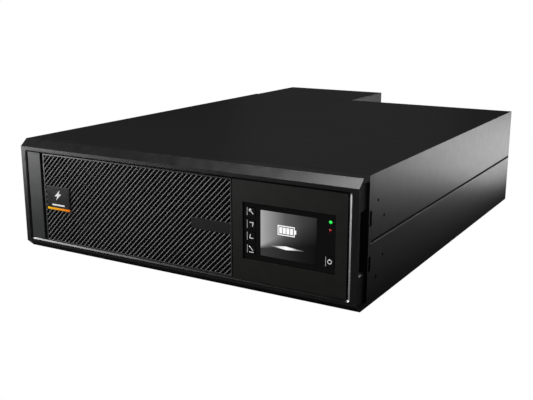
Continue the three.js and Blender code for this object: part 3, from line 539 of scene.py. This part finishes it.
# grille: proud ribs one way, set-back ribs the other way, in a solid border
grilleShape = {
    "pitch": 6.0 * mm,            # hole to hole along a row
    "firstHole": (3.4 * mm, 2.3 * mm),   # from the left and top edges
    "frontRib": 1.5 * mm,
    "frontTop": 0.85 * mm,        # depths behind the front face
    "frontBase": 2.3 * mm,
    "backRib": 1.2 * mm,
    "backTop": 1.6 * mm,
    "back": 3.0 * mm,
    "shoulder": (0.55 * mm, 0.26 * mm),  # across and down, on both sides of each rib
    "border": 1.5 * mm,
    "borderEdge": 0.15 * mm,
    "nameStrip": (26.0 * mm, 75.2 * mm, 58.0 * mm, 70.0 * mm),   # left, right, bottom, top
    "plateEdge": 0.2 * mm,
    "plateLift": 0.02 * mm,       # the strip stands this much proud of the ribs
    "badgeRim": 0.8 * mm,
    "badgeGap": 0.05 * mm,
}


def addRib(bm, start, end, width, topY, baseY, shoulder):
    # a bar from start to end, both (x, z), with sloping shoulders
    along = (Vector(end) - Vector(start)).normalized()
    across = Vector((-along.y, along.x)) * (width / 2)
    inner = across * (1 - 2 * shoulder[0] / width)
    profile = [(-across, baseY), (-across, topY + shoulder[1]), (-inner, topY), (inner, topY),
               (across, topY + shoulder[1]), (across, baseY)]
    ends = []
    for point in (start, end):
        ends.append([bm.verts.new((point[0] + o.x, y, point[1] + o.y)) for o, y in profile])
    first, last = ends
    bm.faces.new(first)
    bm.faces.new(list(reversed(last)))
    for i in range(len(profile)):
        j = (i + 1) % len(profile)
        bm.faces.new((first[j], first[i], last[i], last[j]))


def ribEnds(rise, offset, low, high):
    # where the line z = rise * x + offset crosses a rectangle, or nothing
    crossings = []
    for x in (low[0], high[0]):
        z = rise * x + offset
        if low[1] <= z <= high[1]:
            crossings.append((x, z))
    for z in (low[1], high[1]):
        x = (z - offset) / rise
        if low[0] < x < high[0]:
            crossings.append((x, z))
    return sorted(crossings)[:2] if len(crossings) > 1 else None


def addRibs(bm, rise, holeLine, low, high, pitch, width, topY, baseY, shoulder):
    steps = int((high[0] - low[0] + high[1] - low[1]) / pitch) + 2
    for k in range(-steps, steps + 1):
        ends = ribEnds(rise, holeLine + (k + 0.5) * pitch, low, high)
        if ends and (Vector(ends[1]) - Vector(ends[0])).length > width:
            addRib(bm, ends[0], ends[1], width, topY, baseY, shoulder)


def makeGrille(shape):
    low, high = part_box("grille_panel")
    bm = bmesh.new()
    border = shape["border"]
    inLow = (low[0] + border / 2, low[2] + border / 2)
    inHigh = (high[0] - border / 2, high[2] - border / 2)
    holeX = low[0] + shape["firstHole"][0]
    holeZ = high[2] - shape["firstHole"][1]
    frontTop, frontBase = frontY + shape["frontTop"], frontY + shape["frontBase"]
    backTop, back = frontY + shape["backTop"], frontY + shape["back"]
    addRibs(bm, 1.0, holeZ - holeX, inLow, inHigh, shape["pitch"], shape["frontRib"], frontTop, frontBase,
            shape["shoulder"])
    addRibs(bm, -1.0, holeZ + holeX, inLow, inHigh, shape["pitch"], shape["backRib"], backTop, back,
            shape["shoulder"])
    bars = [((low[0], low[2]), (low[0] + border, high[2])), ((high[0] - border, low[2]), (high[0], high[2])),
            ((low[0] + border, low[2]), (high[0] - border, low[2] + border)),
            ((low[0] + border, high[2] - border), (high[0] - border, high[2]))]
    for (x1, z1), (x2, z2) in bars:
        addBox(bm, (x1, low[1], z1), (x2, high[1], z2), shape["borderEdge"])
    grille = newPiece("grille_lattice", bm, finishes["grille_grey"], "bezel")
    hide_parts("grille_panel")


def makeGrillePlates(shape):
    # flat places in the lattice: a blank name strip and the seat behind the badge
    bm = bmesh.new()
    back = frontY + shape["back"]
    left, right, bottom, top = shape["nameStrip"]
    stripFront = frontY + shape["frontTop"] - shape["plateLift"]
    addBox(bm, (left, stripFront, bottom), (right, back, top), shape["plateEdge"])
    badgeLow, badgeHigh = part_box("badge_plate")
    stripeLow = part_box("badge_stripe")[0]
    rim = shape["badgeRim"]
    addBox(bm, (badgeLow[0] - rim, badgeHigh[1] + shape["badgeGap"], stripeLow[2] - rim),
           (badgeHigh[0] + rim, back, badgeHigh[2] + rim), shape["plateEdge"])
    plates = newPiece("grille_plates", bm, finishes["name_strip"], "bezel")
    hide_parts("grille_panel")


makeGrille(grilleShape)
makeGrillePlates(grilleShape)
print("grille ready")

# trim ring in the bezel's mouth: a black groove round the left and top, and below and at the right a slope in
# foil with painted highlights
ringShape = {
    "width": {"left": 2.3 * mm, "right": 3.1 * mm, "bottom": 2.2 * mm, "top": 1.3 * mm},
    "lip": 0.6 * mm,
    "drop": 1.0 * mm,
    "flat": 0.28,            # share of the width that stays level, in the bezel's own finish
    "back": 3.0 * mm,
    "corner": 3.0 * mm,
    "innerCorner": 1.8 * mm,
    "cornerSteps": 10,
}


def ringCorner(centre, radius, start, steps):
    turn = [start + (math.pi / 2) * i / steps for i in range(steps + 1)]
    return [(centre[0] + radius * math.cos(a), centre[1] + radius * math.sin(a)) for a in turn]


def roundedPath(low, high, radius, steps):
    # anticlockwise from the right side's lower end: right top, left top, left bottom, right bottom corners
    left, right = low[0] + radius, high[0] - radius
    bottom, top = low[1] + radius, high[1] - radius
    centres = [(right, top), (left, top), (left, bottom), (right, bottom)]
    return [ringCorner(centre, radius, i * math.pi / 2, steps) for i, centre in enumerate(centres)]


def makeTrimRing(shape):
    low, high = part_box("trim_ring")
    width, steps = shape["width"], shape["cornerSteps"]
    outer = roundedPath((low[0], low[2]), (high[0], high[2]), shape["corner"], steps)
    inner = roundedPath((low[0] + width["left"], low[2] + width["bottom"]),
                        (high[0] - width["right"], high[2] - width["top"]), shape["innerCorner"], steps)
    half = steps // 2
    # the dark part runs from the top right corner over the top and left sides to the lower left corner
    darkOuter = outer[0][half:] + outer[1] + outer[2][:half + 1]
    darkInner = inner[0][half:] + inner[1] + inner[2][:half + 1]
    brightOuter = outer[2][half:] + outer[3] + outer[0][:half + 1]
    brightInner = inner[2][half:] + inner[3] + inner[0][:half + 1]
    makeTrimPart("trim_groove", darkOuter, darkInner, groovePaint, shape)
    # the bright part takes the foil finish with its painted highlights
    makeTrimPart("trim_bright", brightOuter, brightInner, finishes["trim_gloss"], shape)


def makeTrimPart(name, outside, inside, finish, shape):
    lipY = frontY + shape["lip"]
    seatY = lipY + shape["drop"]
    backY = frontY + shape["back"]
    bm = bmesh.new()
    sections = []
    for (ox, oz), (ix, iz) in zip(outside, inside):
        mx, mz = ox + (ix - ox) * shape["flat"], oz + (iz - oz) * shape["flat"]
        sections.append([bm.verts.new(p) for p in (
            (ox, backY, oz), (ox, lipY, oz), (mx, lipY, mz), (ix, seatY, iz), (ix, backY, iz))])
    corners = len(sections[0])
    for a, b in zip(sections, sections[1:]):
        for i in range(corners):
            j = (i + 1) % corners
            face = bm.faces.new((a[i], a[j], b[j], b[i]))
            face.material_index = 1 if i == 1 else 0      # the flat lip matches the bezel
    bm.faces.new(list(reversed(sections[0])))
    bm.faces.new(sections[-1])
    ring = newPiece(name, bm, finish, "bezel", 20)
    ring.data.materials.append(finishes["bezel_plastic"])
    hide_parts("trim_ring")


makeTrimRing(ringShape)
print("trim ring ready")

# badge mark: a plain lightning bolt over a thin rule
markDepth = 0.2 * mm      # how far every printed mark reaches into the piece that carries it
badgeMark = {"height": 12.0 * mm, "centreUp": 0.62, "rule": (19.0 * mm, 1.8 * mm), "ruleUp": 3.2 * mm,
             "proud": 0.04 * mm}
boltOutline = [(0.26, 0.5), (-0.44, -0.12), (-0.08, -0.12), (-0.26, -0.5), (0.44, 0.14), (0.1, 0.14)]


def makeBadgeMark(look):
    low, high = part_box("badge_plate")
    centreX = (low[0] + high[0]) / 2
    centreZ = low[2] + (high[2] - low[2]) * look["centreUp"]
    bm = bmesh.new()
    size = look["height"]
    bolt = [(centreX + x * size, centreZ + z * size) for x, z in boltOutline]
    addPrism(bm, bolt, low[1] - look["proud"], low[1] + markDepth)
    width, height = look["rule"]
    ruleZ = low[2] + look["ruleUp"]
    addBox(bm, (centreX - width / 2, low[1] - look["proud"], ruleZ - height / 2),
           (centreX + width / 2, low[1] + markDepth, ruleZ + height / 2))
    newPiece("badge_mark", bm, whitePrint, "bezel")


makeBadgeMark(badgeMark)

# key marks, printed on the caps: slanting arrows for escape, up, down and enter, and a painted highlight down
# each cap's left side
# side, and the two entries after it, size the painted highlight line down each key's left side
keyMarks = {"line": 0.75 * mm, "proud": 0.03 * mm,
            "side": 0.3 * mm, "highlightInset": 0.35 * mm, "highlightHeight": 0.78}


def addStroke(bm, start, end, width, lowY, highY):
    along = (Vector(end) - Vector(start)).normalized()
    across = Vector((-along.y, along.x)) * (width / 2)
    a, b = Vector(start), Vector(end)
    outline = [tuple(a - across), tuple(b - across), tuple(b + across), tuple(a + across)]
    addPrism(bm, outline, lowY, highY)


def addPaintedHighlightLine(bm, low, high):
    # a painted highlight: a fine pale line down a key's left side, where its edge would catch light
    middle, half = (low[2] + high[2]) / 2, (high[2] - low[2]) * keyMarks["highlightHeight"] / 2
    x = low[0] + keyMarks["highlightInset"]
    addStroke(bm, (x, middle - half), (x, middle + half), keyMarks["side"],
              low[1] - keyMarks["proud"], low[1] + markDepth)


def makeKeyMark(name, body, node, strokes, dot=None):
    low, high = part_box(node)
    centre = ((low[0] + high[0]) / 2, (low[2] + high[2]) / 2)
    bm = bmesh.new()
    faceY = low[1]
    for x1, z1, x2, z2 in strokes:
        addStroke(bm, (centre[0] + x1 * mm, centre[1] + z1 * mm), (centre[0] + x2 * mm, centre[1] + z2 * mm),
                  keyMarks["line"], faceY - keyMarks["proud"], faceY + markDepth)
    if dot:
        x, z, radius = (v * mm for v in dot)
        front = -keyMarks["proud"]
        profile = [(0, front), (radius, front), (radius, markDepth), (0, markDepth)]
        addLathe(bm, profile, 16, Vector((centre[0] + x, faceY, centre[1] + z)))
    addPaintedHighlightLine(bm, low, high)
    newPiece(name, bm, whitePrint, body)


makeKeyMark("mark_escape", "escape_key", "key_escape",
            [(-1.6, 2.2, 2.6, -2.2), (-1.9, 2.5, 0.4, 2.5), (-1.9, 2.5, -1.9, 0.2)])
makeKeyMark("mark_up", "up_key", "key_up", [(-1.7, 1.9, 2.6, 1.9), (2.6, 1.9, 1.6, -2.2)])
makeKeyMark("mark_down", "down_key", "key_down", [(-0.7, 2.2, -1.6, -1.8), (-1.6, -1.8, 2.5, -1.8)])
makeKeyMark("mark_enter", "enter_key", "key_enter",
            [(-1.8, 2.6, 2.2, -1.4), (-2.4, -3.2, 2.8, -3.2)], (-1.8, 2.6, 0.7))


# power mark: a ring, and a short bar through its top, and a painted highlight down the key's left side
powerMark = {"radius": 2.0 * mm, "line": 0.65 * mm, "barLow": 0.7, "barHigh": 1.5}


def makePowerMark(look):
    low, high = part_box("power_key")
    centre = Vector(((low[0] + high[0]) / 2, low[1], (low[2] + high[2]) / 2))
    front = -keyMarks["proud"]
    radius, half = look["radius"], look["line"] / 2
    bm = bmesh.new()
    profile = [(radius - half, front), (radius + half, front), (radius + half, markDepth),
               (radius - half, markDepth)]
    addLathe(bm, profile, 32, centre)
    addBox(bm, (centre.x - half, low[1] + front, centre.z + radius * look["barLow"]),
           (centre.x + half, low[1] + markDepth, centre.z + radius * look["barHigh"]))
    addPaintedHighlightLine(bm, low, high)
    newPiece("mark_power", bm, whitePrint, "power_button")


makePowerMark(powerMark)
print("marks ready")

# what the screen shows: a battery outline with its charge, and a flare of light below it
screenShow = {"batteryCentre": (0.47, 0.62), "battery": (19.0 * mm, 10.0 * mm), "line": 1.0 * mm, "cells": 4,
              "flareCentre": (0.47, 0.27), "flare": (40.0 * mm, 3.6 * mm), "flareSteps": 24,
              "lift": 0.03 * mm, "depth": 0.1 * mm}


def screenPoint(share):
    screenLow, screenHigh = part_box("lcd_screen")
    return (screenLow[0] + (screenHigh[0] - screenLow[0]) * share[0],
            screenLow[2] + (screenHigh[2] - screenLow[2]) * share[1])


def makeScreenBattery(look):
    x, z = screenPoint(look["batteryCentre"])
    width, height = look["battery"]
    line = look["line"]
    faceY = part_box("lcd_screen")[0][1] - look["lift"]
    backY = faceY + look["depth"]
    bm = bmesh.new()
    left, right, low, high = x - width / 2, x + width / 2, z - height / 2, z + height / 2
    addBox(bm, (left, faceY, low), (right, backY, low + line))
    addBox(bm, (left, faceY, high - line), (right, backY, high))
    addBox(bm, (left, faceY, low + line), (left + line, backY, high - line))
    addBox(bm, (right - line, faceY, low + line), (right, backY, high - line))
    addBox(bm, (right, faceY, z - height * 0.2), (right + 1.6 * line, backY, z + height * 0.2))
    step = (width - 3 * line) / look["cells"]
    inset = 1.9 * line
    for i in range(look["cells"]):
        start = left + 1.8 * line + i * step
        addBox(bm, (start, faceY, low + inset), (start + step - 0.7 * line, backY, high - inset))
    newPiece("screen_battery", bm, screenLight, "chassis")


def flareFinish(look):
    # white in the middle, gone at the tips
    mat, tree, shader, coords = startMaterial("screen_light")
    x = screenPoint(look["flareCentre"])[0]
    offX = addMath(tree, "ABSOLUTE", addMath(tree, "SUBTRACT", splitPosition(tree, coords)["X"], x), 0.0)
    share = addMath(tree, "DIVIDE", offX, look["flare"][0] / 2)
    glow = addRamp(tree, share, [(0.0, 1.0), (0.3, 0.85), (0.6, 0.3), (1.0, 0.03)])
    tree.links.new(glow, shader.inputs["Emission Color"])
    shader.inputs["Emission Strength"].default_value = 1.0
    shader.inputs["Base Color"].default_value = (0.01, 0.01, 0.01, 1)
    shader.inputs["Roughness"].default_value = 0.1
    return mat


def makeFlare(look):
    x, z = screenPoint(look["flareCentre"])
    length, height = look["flare"]
    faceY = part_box("lcd_screen")[0][1] - look["lift"]
    steps = look["flareSteps"]
    top, bottom = [], []
    for i in range(1, steps):
        t = -1 + 2 * i / steps
        bulge = 0.5 * height * (0.18 + 0.82 * (1 - abs(t)) ** 1.5)
        top.append((x + t * length / 2, z + bulge))
        bottom.append((x + t * length / 2, z - bulge))
    outline = [(x - length / 2, z)] + bottom + [(x + length / 2, z)] + list(reversed(top))
    bm = bmesh.new()
    addPrism(bm, outline, faceY, faceY + look["depth"])
    newPiece("screen_flare", bm, flareFinish(look), "chassis")


screenLight = markFinish({"dark": (0.75, 0.75, 0.75), "light": (0.85, 0.85, 0.85), "rough": 0.2, "glow": 0.9})
makeScreenBattery(screenShow)
makeFlare(screenShow)

# lamp lenses with round tops
lensShape = {"dome": 0.5 * mm, "steps": 6}


def makeLens(name, node, slot, shape):
    low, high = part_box(node)
    radius = (high[0] - low[0]) / 2
    centre = Vector(((low[0] + high[0]) / 2, low[1], (low[2] + high[2]) / 2))
    turn = [math.pi / 2 * i / shape["steps"] for i in range(shape["steps"] + 1)]
    dome = [(radius * math.sin(a), shape["dome"] * (1 - math.cos(a))) for a in turn]
    profile = dome + [(radius, high[1] - low[1]), (0, high[1] - low[1])]
    bm = bmesh.new()
    addLathe(bm, profile, 28, centre)
    lens = newPiece(name, bm, finishes[slot], "chassis", 40)
    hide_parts(node)


makeLens("run_lens", "run_led", "run_green", lensShape)
makeLens("fault_lens", "fault_led", "fault_red", lensShape)
print("display ready")

# fans: round wire guards and rotors with swept, twisted blades
rotorShape = {
    "blades": 7,
    "hub": 17.5 * mm,
    "hubEdge": 1.2 * mm,
    "hubDish": 0.6 * mm,
    "root": 16.5 * mm,           # the blades start just inside the hub
    "tip": 36.3 * mm,
    "thickness": 1.2 * mm,
    "chord": (15 * mm, 22 * mm),  # at the root and at the tip, as for the pitch
    "pitch": (58.0, 34.0),
    "camber": 0.09,
    "reach": 0.85,
    "sweep": 26.0,
    "steps": 7,
}
guardShape = {
    "wire": 0.95 * mm,
    "rings": (13 * mm, 20.5 * mm, 28 * mm, 35.5 * mm),
    "eye": 3.2 * mm,
    "eyeAt": 44.4 * mm,
    "ringSteps": 48,
    "eyeSteps": 20,
}


def between(pair, share):
    return pair[0] + (pair[1] - pair[0]) * share


def addBlade(bm, centre, angle, midY, shape):
    steps = shape["steps"]
    sections = []
    for i in range(steps + 1):
        t = i / steps
        radius = between((shape["root"], shape["tip"]), t)
        chord = between(shape["chord"], t)
        pitch = math.radians(between(shape["pitch"], t))
        lean = math.radians(shape["sweep"]) * t * t
        section = []
        for side in (-0.5, 0.5):
            for c in (-0.5, -0.17, 0.17, 0.5) if side < 0 else (0.5, 0.17, -0.17, -0.5):
                camber = shape["camber"] * chord * (1 - 4 * c * c)
                along = c * chord
                off = side * shape["thickness"] * (1 - 0.6 * abs(2 * c) ** 3) + camber
                around = along * math.cos(pitch) - off * math.sin(pitch)
                y = midY + along * math.sin(pitch) * shape["reach"] + off * math.cos(pitch)
                a = angle + lean + around / radius
                x, z = centre.x + radius * math.cos(a), centre.z + radius * math.sin(a)
                section.append(bm.verts.new((x, y, z)))
        sections.append(section)
    count = len(sections[0])
    for a, b in zip(sections, sections[1:]):
        for i in range(count):
            j = (i + 1) % count
            bm.faces.new((a[i], a[j], b[j], b[i]))
    bm.faces.new(list(reversed(sections[0])))
    bm.faces.new(sections[-1])


def makeRotor(index, shape):
    node = f"fan_rotor_{index}"
    low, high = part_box(node)
    fanLow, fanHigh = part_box(f"fan_frame_{index}")
    centre = Vector(((fanLow[0] + fanHigh[0]) / 2, 0, (fanLow[2] + fanHigh[2]) / 2))
    hub, edge, dish = shape["hub"], shape["hubEdge"], high[1] - shape["hubDish"]
    profile = [(0, low[1]), (hub - edge, low[1]), (hub, low[1] + edge), (hub, high[1] - edge),
               (hub - edge * 0.3, high[1] - edge * 0.3), (hub - edge, high[1]),
               (hub * 0.55, high[1]), (hub * 0.5, dish), (0, dish)]
    bm = bmesh.new()
    addLathe(bm, profile, 40, centre)
    for k in range(shape["blades"]):
        addBlade(bm, centre, 2 * math.pi * k / shape["blades"], (low[1] + high[1]) / 2, shape)
    rotor = newPiece(f"rotor_{index}", bm, finishes["fan_black"], f"fan_{index}", 35)
    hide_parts(node)


def makeGuard(index, shape):
    node = f"fan_guard_{index}"
    low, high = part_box(node)
    centre = Vector(((low[0] + high[0]) / 2, 0, (low[2] + high[2]) / 2))
    wire = shape["wire"]
    bm = bmesh.new()
    centre.y = high[1] - wire
    for radius in shape["rings"]:
        addTube(bm, circle(centre, radius, shape["ringSteps"]), wire, 8, True)
    # four spokes on the rings, each ending in a screw eye
    centre.y = low[1] + wire * 0.9
    for corner in range(4):
        a = math.pi / 4 + math.pi / 2 * corner
        out = Vector((math.cos(a), 0, math.sin(a)))
        inner = centre + out * (shape["rings"][0] - 2 * mm)
        near = centre + out * (shape["eyeAt"] - shape["eye"])
        addTube(bm, [inner, (inner + near) / 2, near], wire, 8)
        addTube(bm, circle(centre + out * shape["eyeAt"], shape["eye"], shape["eyeSteps"]), wire, 8, True)
    guard = newPiece(f"guard_{index}", bm, finishes["bright_steel"], "chassis", 40)
    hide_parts(node)


for fanIndex in (1, 2):
    makeRotor(fanIndex, rotorShape)
    makeGuard(fanIndex, guardShape)
print("fans ready")

# rounded edges on the carried-over nodes
edgeWidths = [
    (0.25 * mm, ["side_strip", "badge_plate", "badge_stripe", "power_box_lid", "terminal_cover",
                 "display_fascia", "card_slot_cover", "network_port", "battery_port", "wide_outlet",
                 "outlet_strip", "input_breaker", "bypass_breaker", "input_breaker_toggle",
                 "bypass_breaker_toggle"]),
    (0.3 * mm, ["key_escape", "key_up", "key_down", "key_enter", "power_key", "power_box", "rear_panel"]),
    (0.2 * mm, ["top_cover"]),
    (0.5 * mm, ["display_panel", "front_frame"]),
    (1.2 * mm, ["battery_block_1", "battery_block_2", "battery_block_3", "battery_block_4"]),
]
for width, names in edgeWidths:
    roundEdges([nodes[name] for name in names], width)

# studio: a pale floor that the camera sees as plain white
stageLook = {"floorSize": 12.0, "drop": 0.5 * mm, "seen": 1.0, "paper": 0.12, "fill": 0.025}


def makeFloor(look):
    mesh = bpy.data.meshes.new("floor")
    half = look["floorSize"] / 2
    corners = [(-half, -half, 0), (half, -half, 0), (half, half, 0), (-half, half, 0)]
    mesh.from_pydata(corners, [], [(0, 1, 2, 3)])
    floor = bpy.data.objects.new("floor", mesh)
    floor.location.z = -look["drop"]
    bpy.context.scene.collection.objects.link(floor)
    mat = bpy.data.materials.new("floor")
    mat.use_nodes = True
    tree = mat.node_tree
    tree.nodes.clear()
    out = tree.nodes.new("ShaderNodeOutputMaterial")
    path = tree.nodes.new("ShaderNodeLightPath")
    glow = tree.nodes.new("ShaderNodeEmission")
    paper = tree.nodes.new("ShaderNodeBsdfDiffuse")
    mix = tree.nodes.new("ShaderNodeMixShader")
    paper.inputs["Color"].default_value = (look["paper"], look["paper"], look["paper"], 1)
    glow.inputs["Strength"].default_value = look["seen"]
    tree.links.new(path.outputs["Is Camera Ray"], mix.inputs["Fac"])
    tree.links.new(paper.outputs["BSDF"], mix.inputs[1])
    tree.links.new(glow.outputs["Emission"], mix.inputs[2])
    tree.links.new(mix.outputs["Shader"], out.inputs["Surface"])
    mesh.materials.append(mat)


def makeWorld(look):
    # white to the camera, a faint fill to the object
    world = bpy.data.worlds.new("studio")
    bpy.context.scene.world = world
    world.use_nodes = True
    tree = world.node_tree
    fill = tree.nodes["Background"]
    path = tree.nodes.new("ShaderNodeLightPath")
    white = tree.nodes.new("ShaderNodeBackground")
    mix = tree.nodes.new("ShaderNodeMixShader")
    out = tree.nodes["World Output"]
    fill.inputs["Color"].default_value = (1, 1, 1, 1)
    fill.inputs["Strength"].default_value = look["fill"]
    white.inputs["Color"].default_value = (1, 1, 1, 1)
    white.inputs["Strength"].default_value = look["seen"]
    tree.links.new(path.outputs["Is Camera Ray"], mix.inputs["Fac"])
    tree.links.new(fill.outputs["Background"], mix.inputs[1])
    tree.links.new(white.outputs["Background"], mix.inputs[2])
    tree.links.new(mix.outputs["Shader"], out.inputs["Surface"])


# the floor cards lie beside the unit and only show in its gloss, as white paper would
lightLooks = {
    "leftSoftbox": {"place": (-1.3, -0.95, 0.5), "aim": (-0.2, -0.33, 0.06), "size": (0.7, 0.9), "power": 12},
    "overhead": {"place": (-0.1, -0.6, 1.2), "aim": (0.2, -0.33, 0.12), "size": (0.25, 0.25), "power": 9},
    "rearSoftbox": {"place": (1.0, 1.7, 0.5), "aim": (0.21, 0.0, 0.1), "size": (0.7, 0.7), "power": 10},
    "backSoftbox": {"place": (-0.9, 2.0, 0.55), "aim": (0.0, 0.0, 0.12), "size": (0.9, 0.35), "power": 0.08},
    "leftCard": {"place": (-1.0, -0.9, 0.0), "aim": (-1.0, -0.9, 1.0), "size": (0.8, 0.9), "power": 15,
                 "glossOnly": True},
    "rightCard": {"place": (0.5, 0.7, 0.0), "aim": (0.5, 0.7, 1.0), "size": (0.46, 0.86), "power": 4.3,
                  "glossOnly": True},
    "cornerCard": {"place": (0.64, -0.5, 0.0), "aim": (0.64, -0.5, 1.0), "size": (0.36, 0.4), "power": 6,
                   "glossOnly": True},
    "sideSoftbox": {"place": (0.95, 0.3, 0.6), "aim": (0.21, -0.32, 0.04), "size": (0.3, 0.3), "power": 1},
}


def makeLights(looks):
    for name, look in looks.items():
        data = bpy.data.lights.new(name, "AREA")
        data.shape = "RECTANGLE"
        data.size, data.size_y = look["size"]
        data.energy = look["power"]
        lamp = bpy.data.objects.new(name, data)
        lamp.location = look["place"]
        aim = Vector(look["aim"]) - Vector(look["place"])
        lamp.rotation_euler = aim.to_track_quat("-Z", "Y").to_euler()
        lamp.visible_camera = False
        lamp.visible_diffuse = not look.get("glossOnly", False)
        bpy.context.scene.collection.objects.link(lamp)


makeFloor(stageLook)
makeWorld(stageLook)
makeLights(lightLooks)
bpy.context.scene.view_settings.view_transform = "Standard"
print("studio ready")
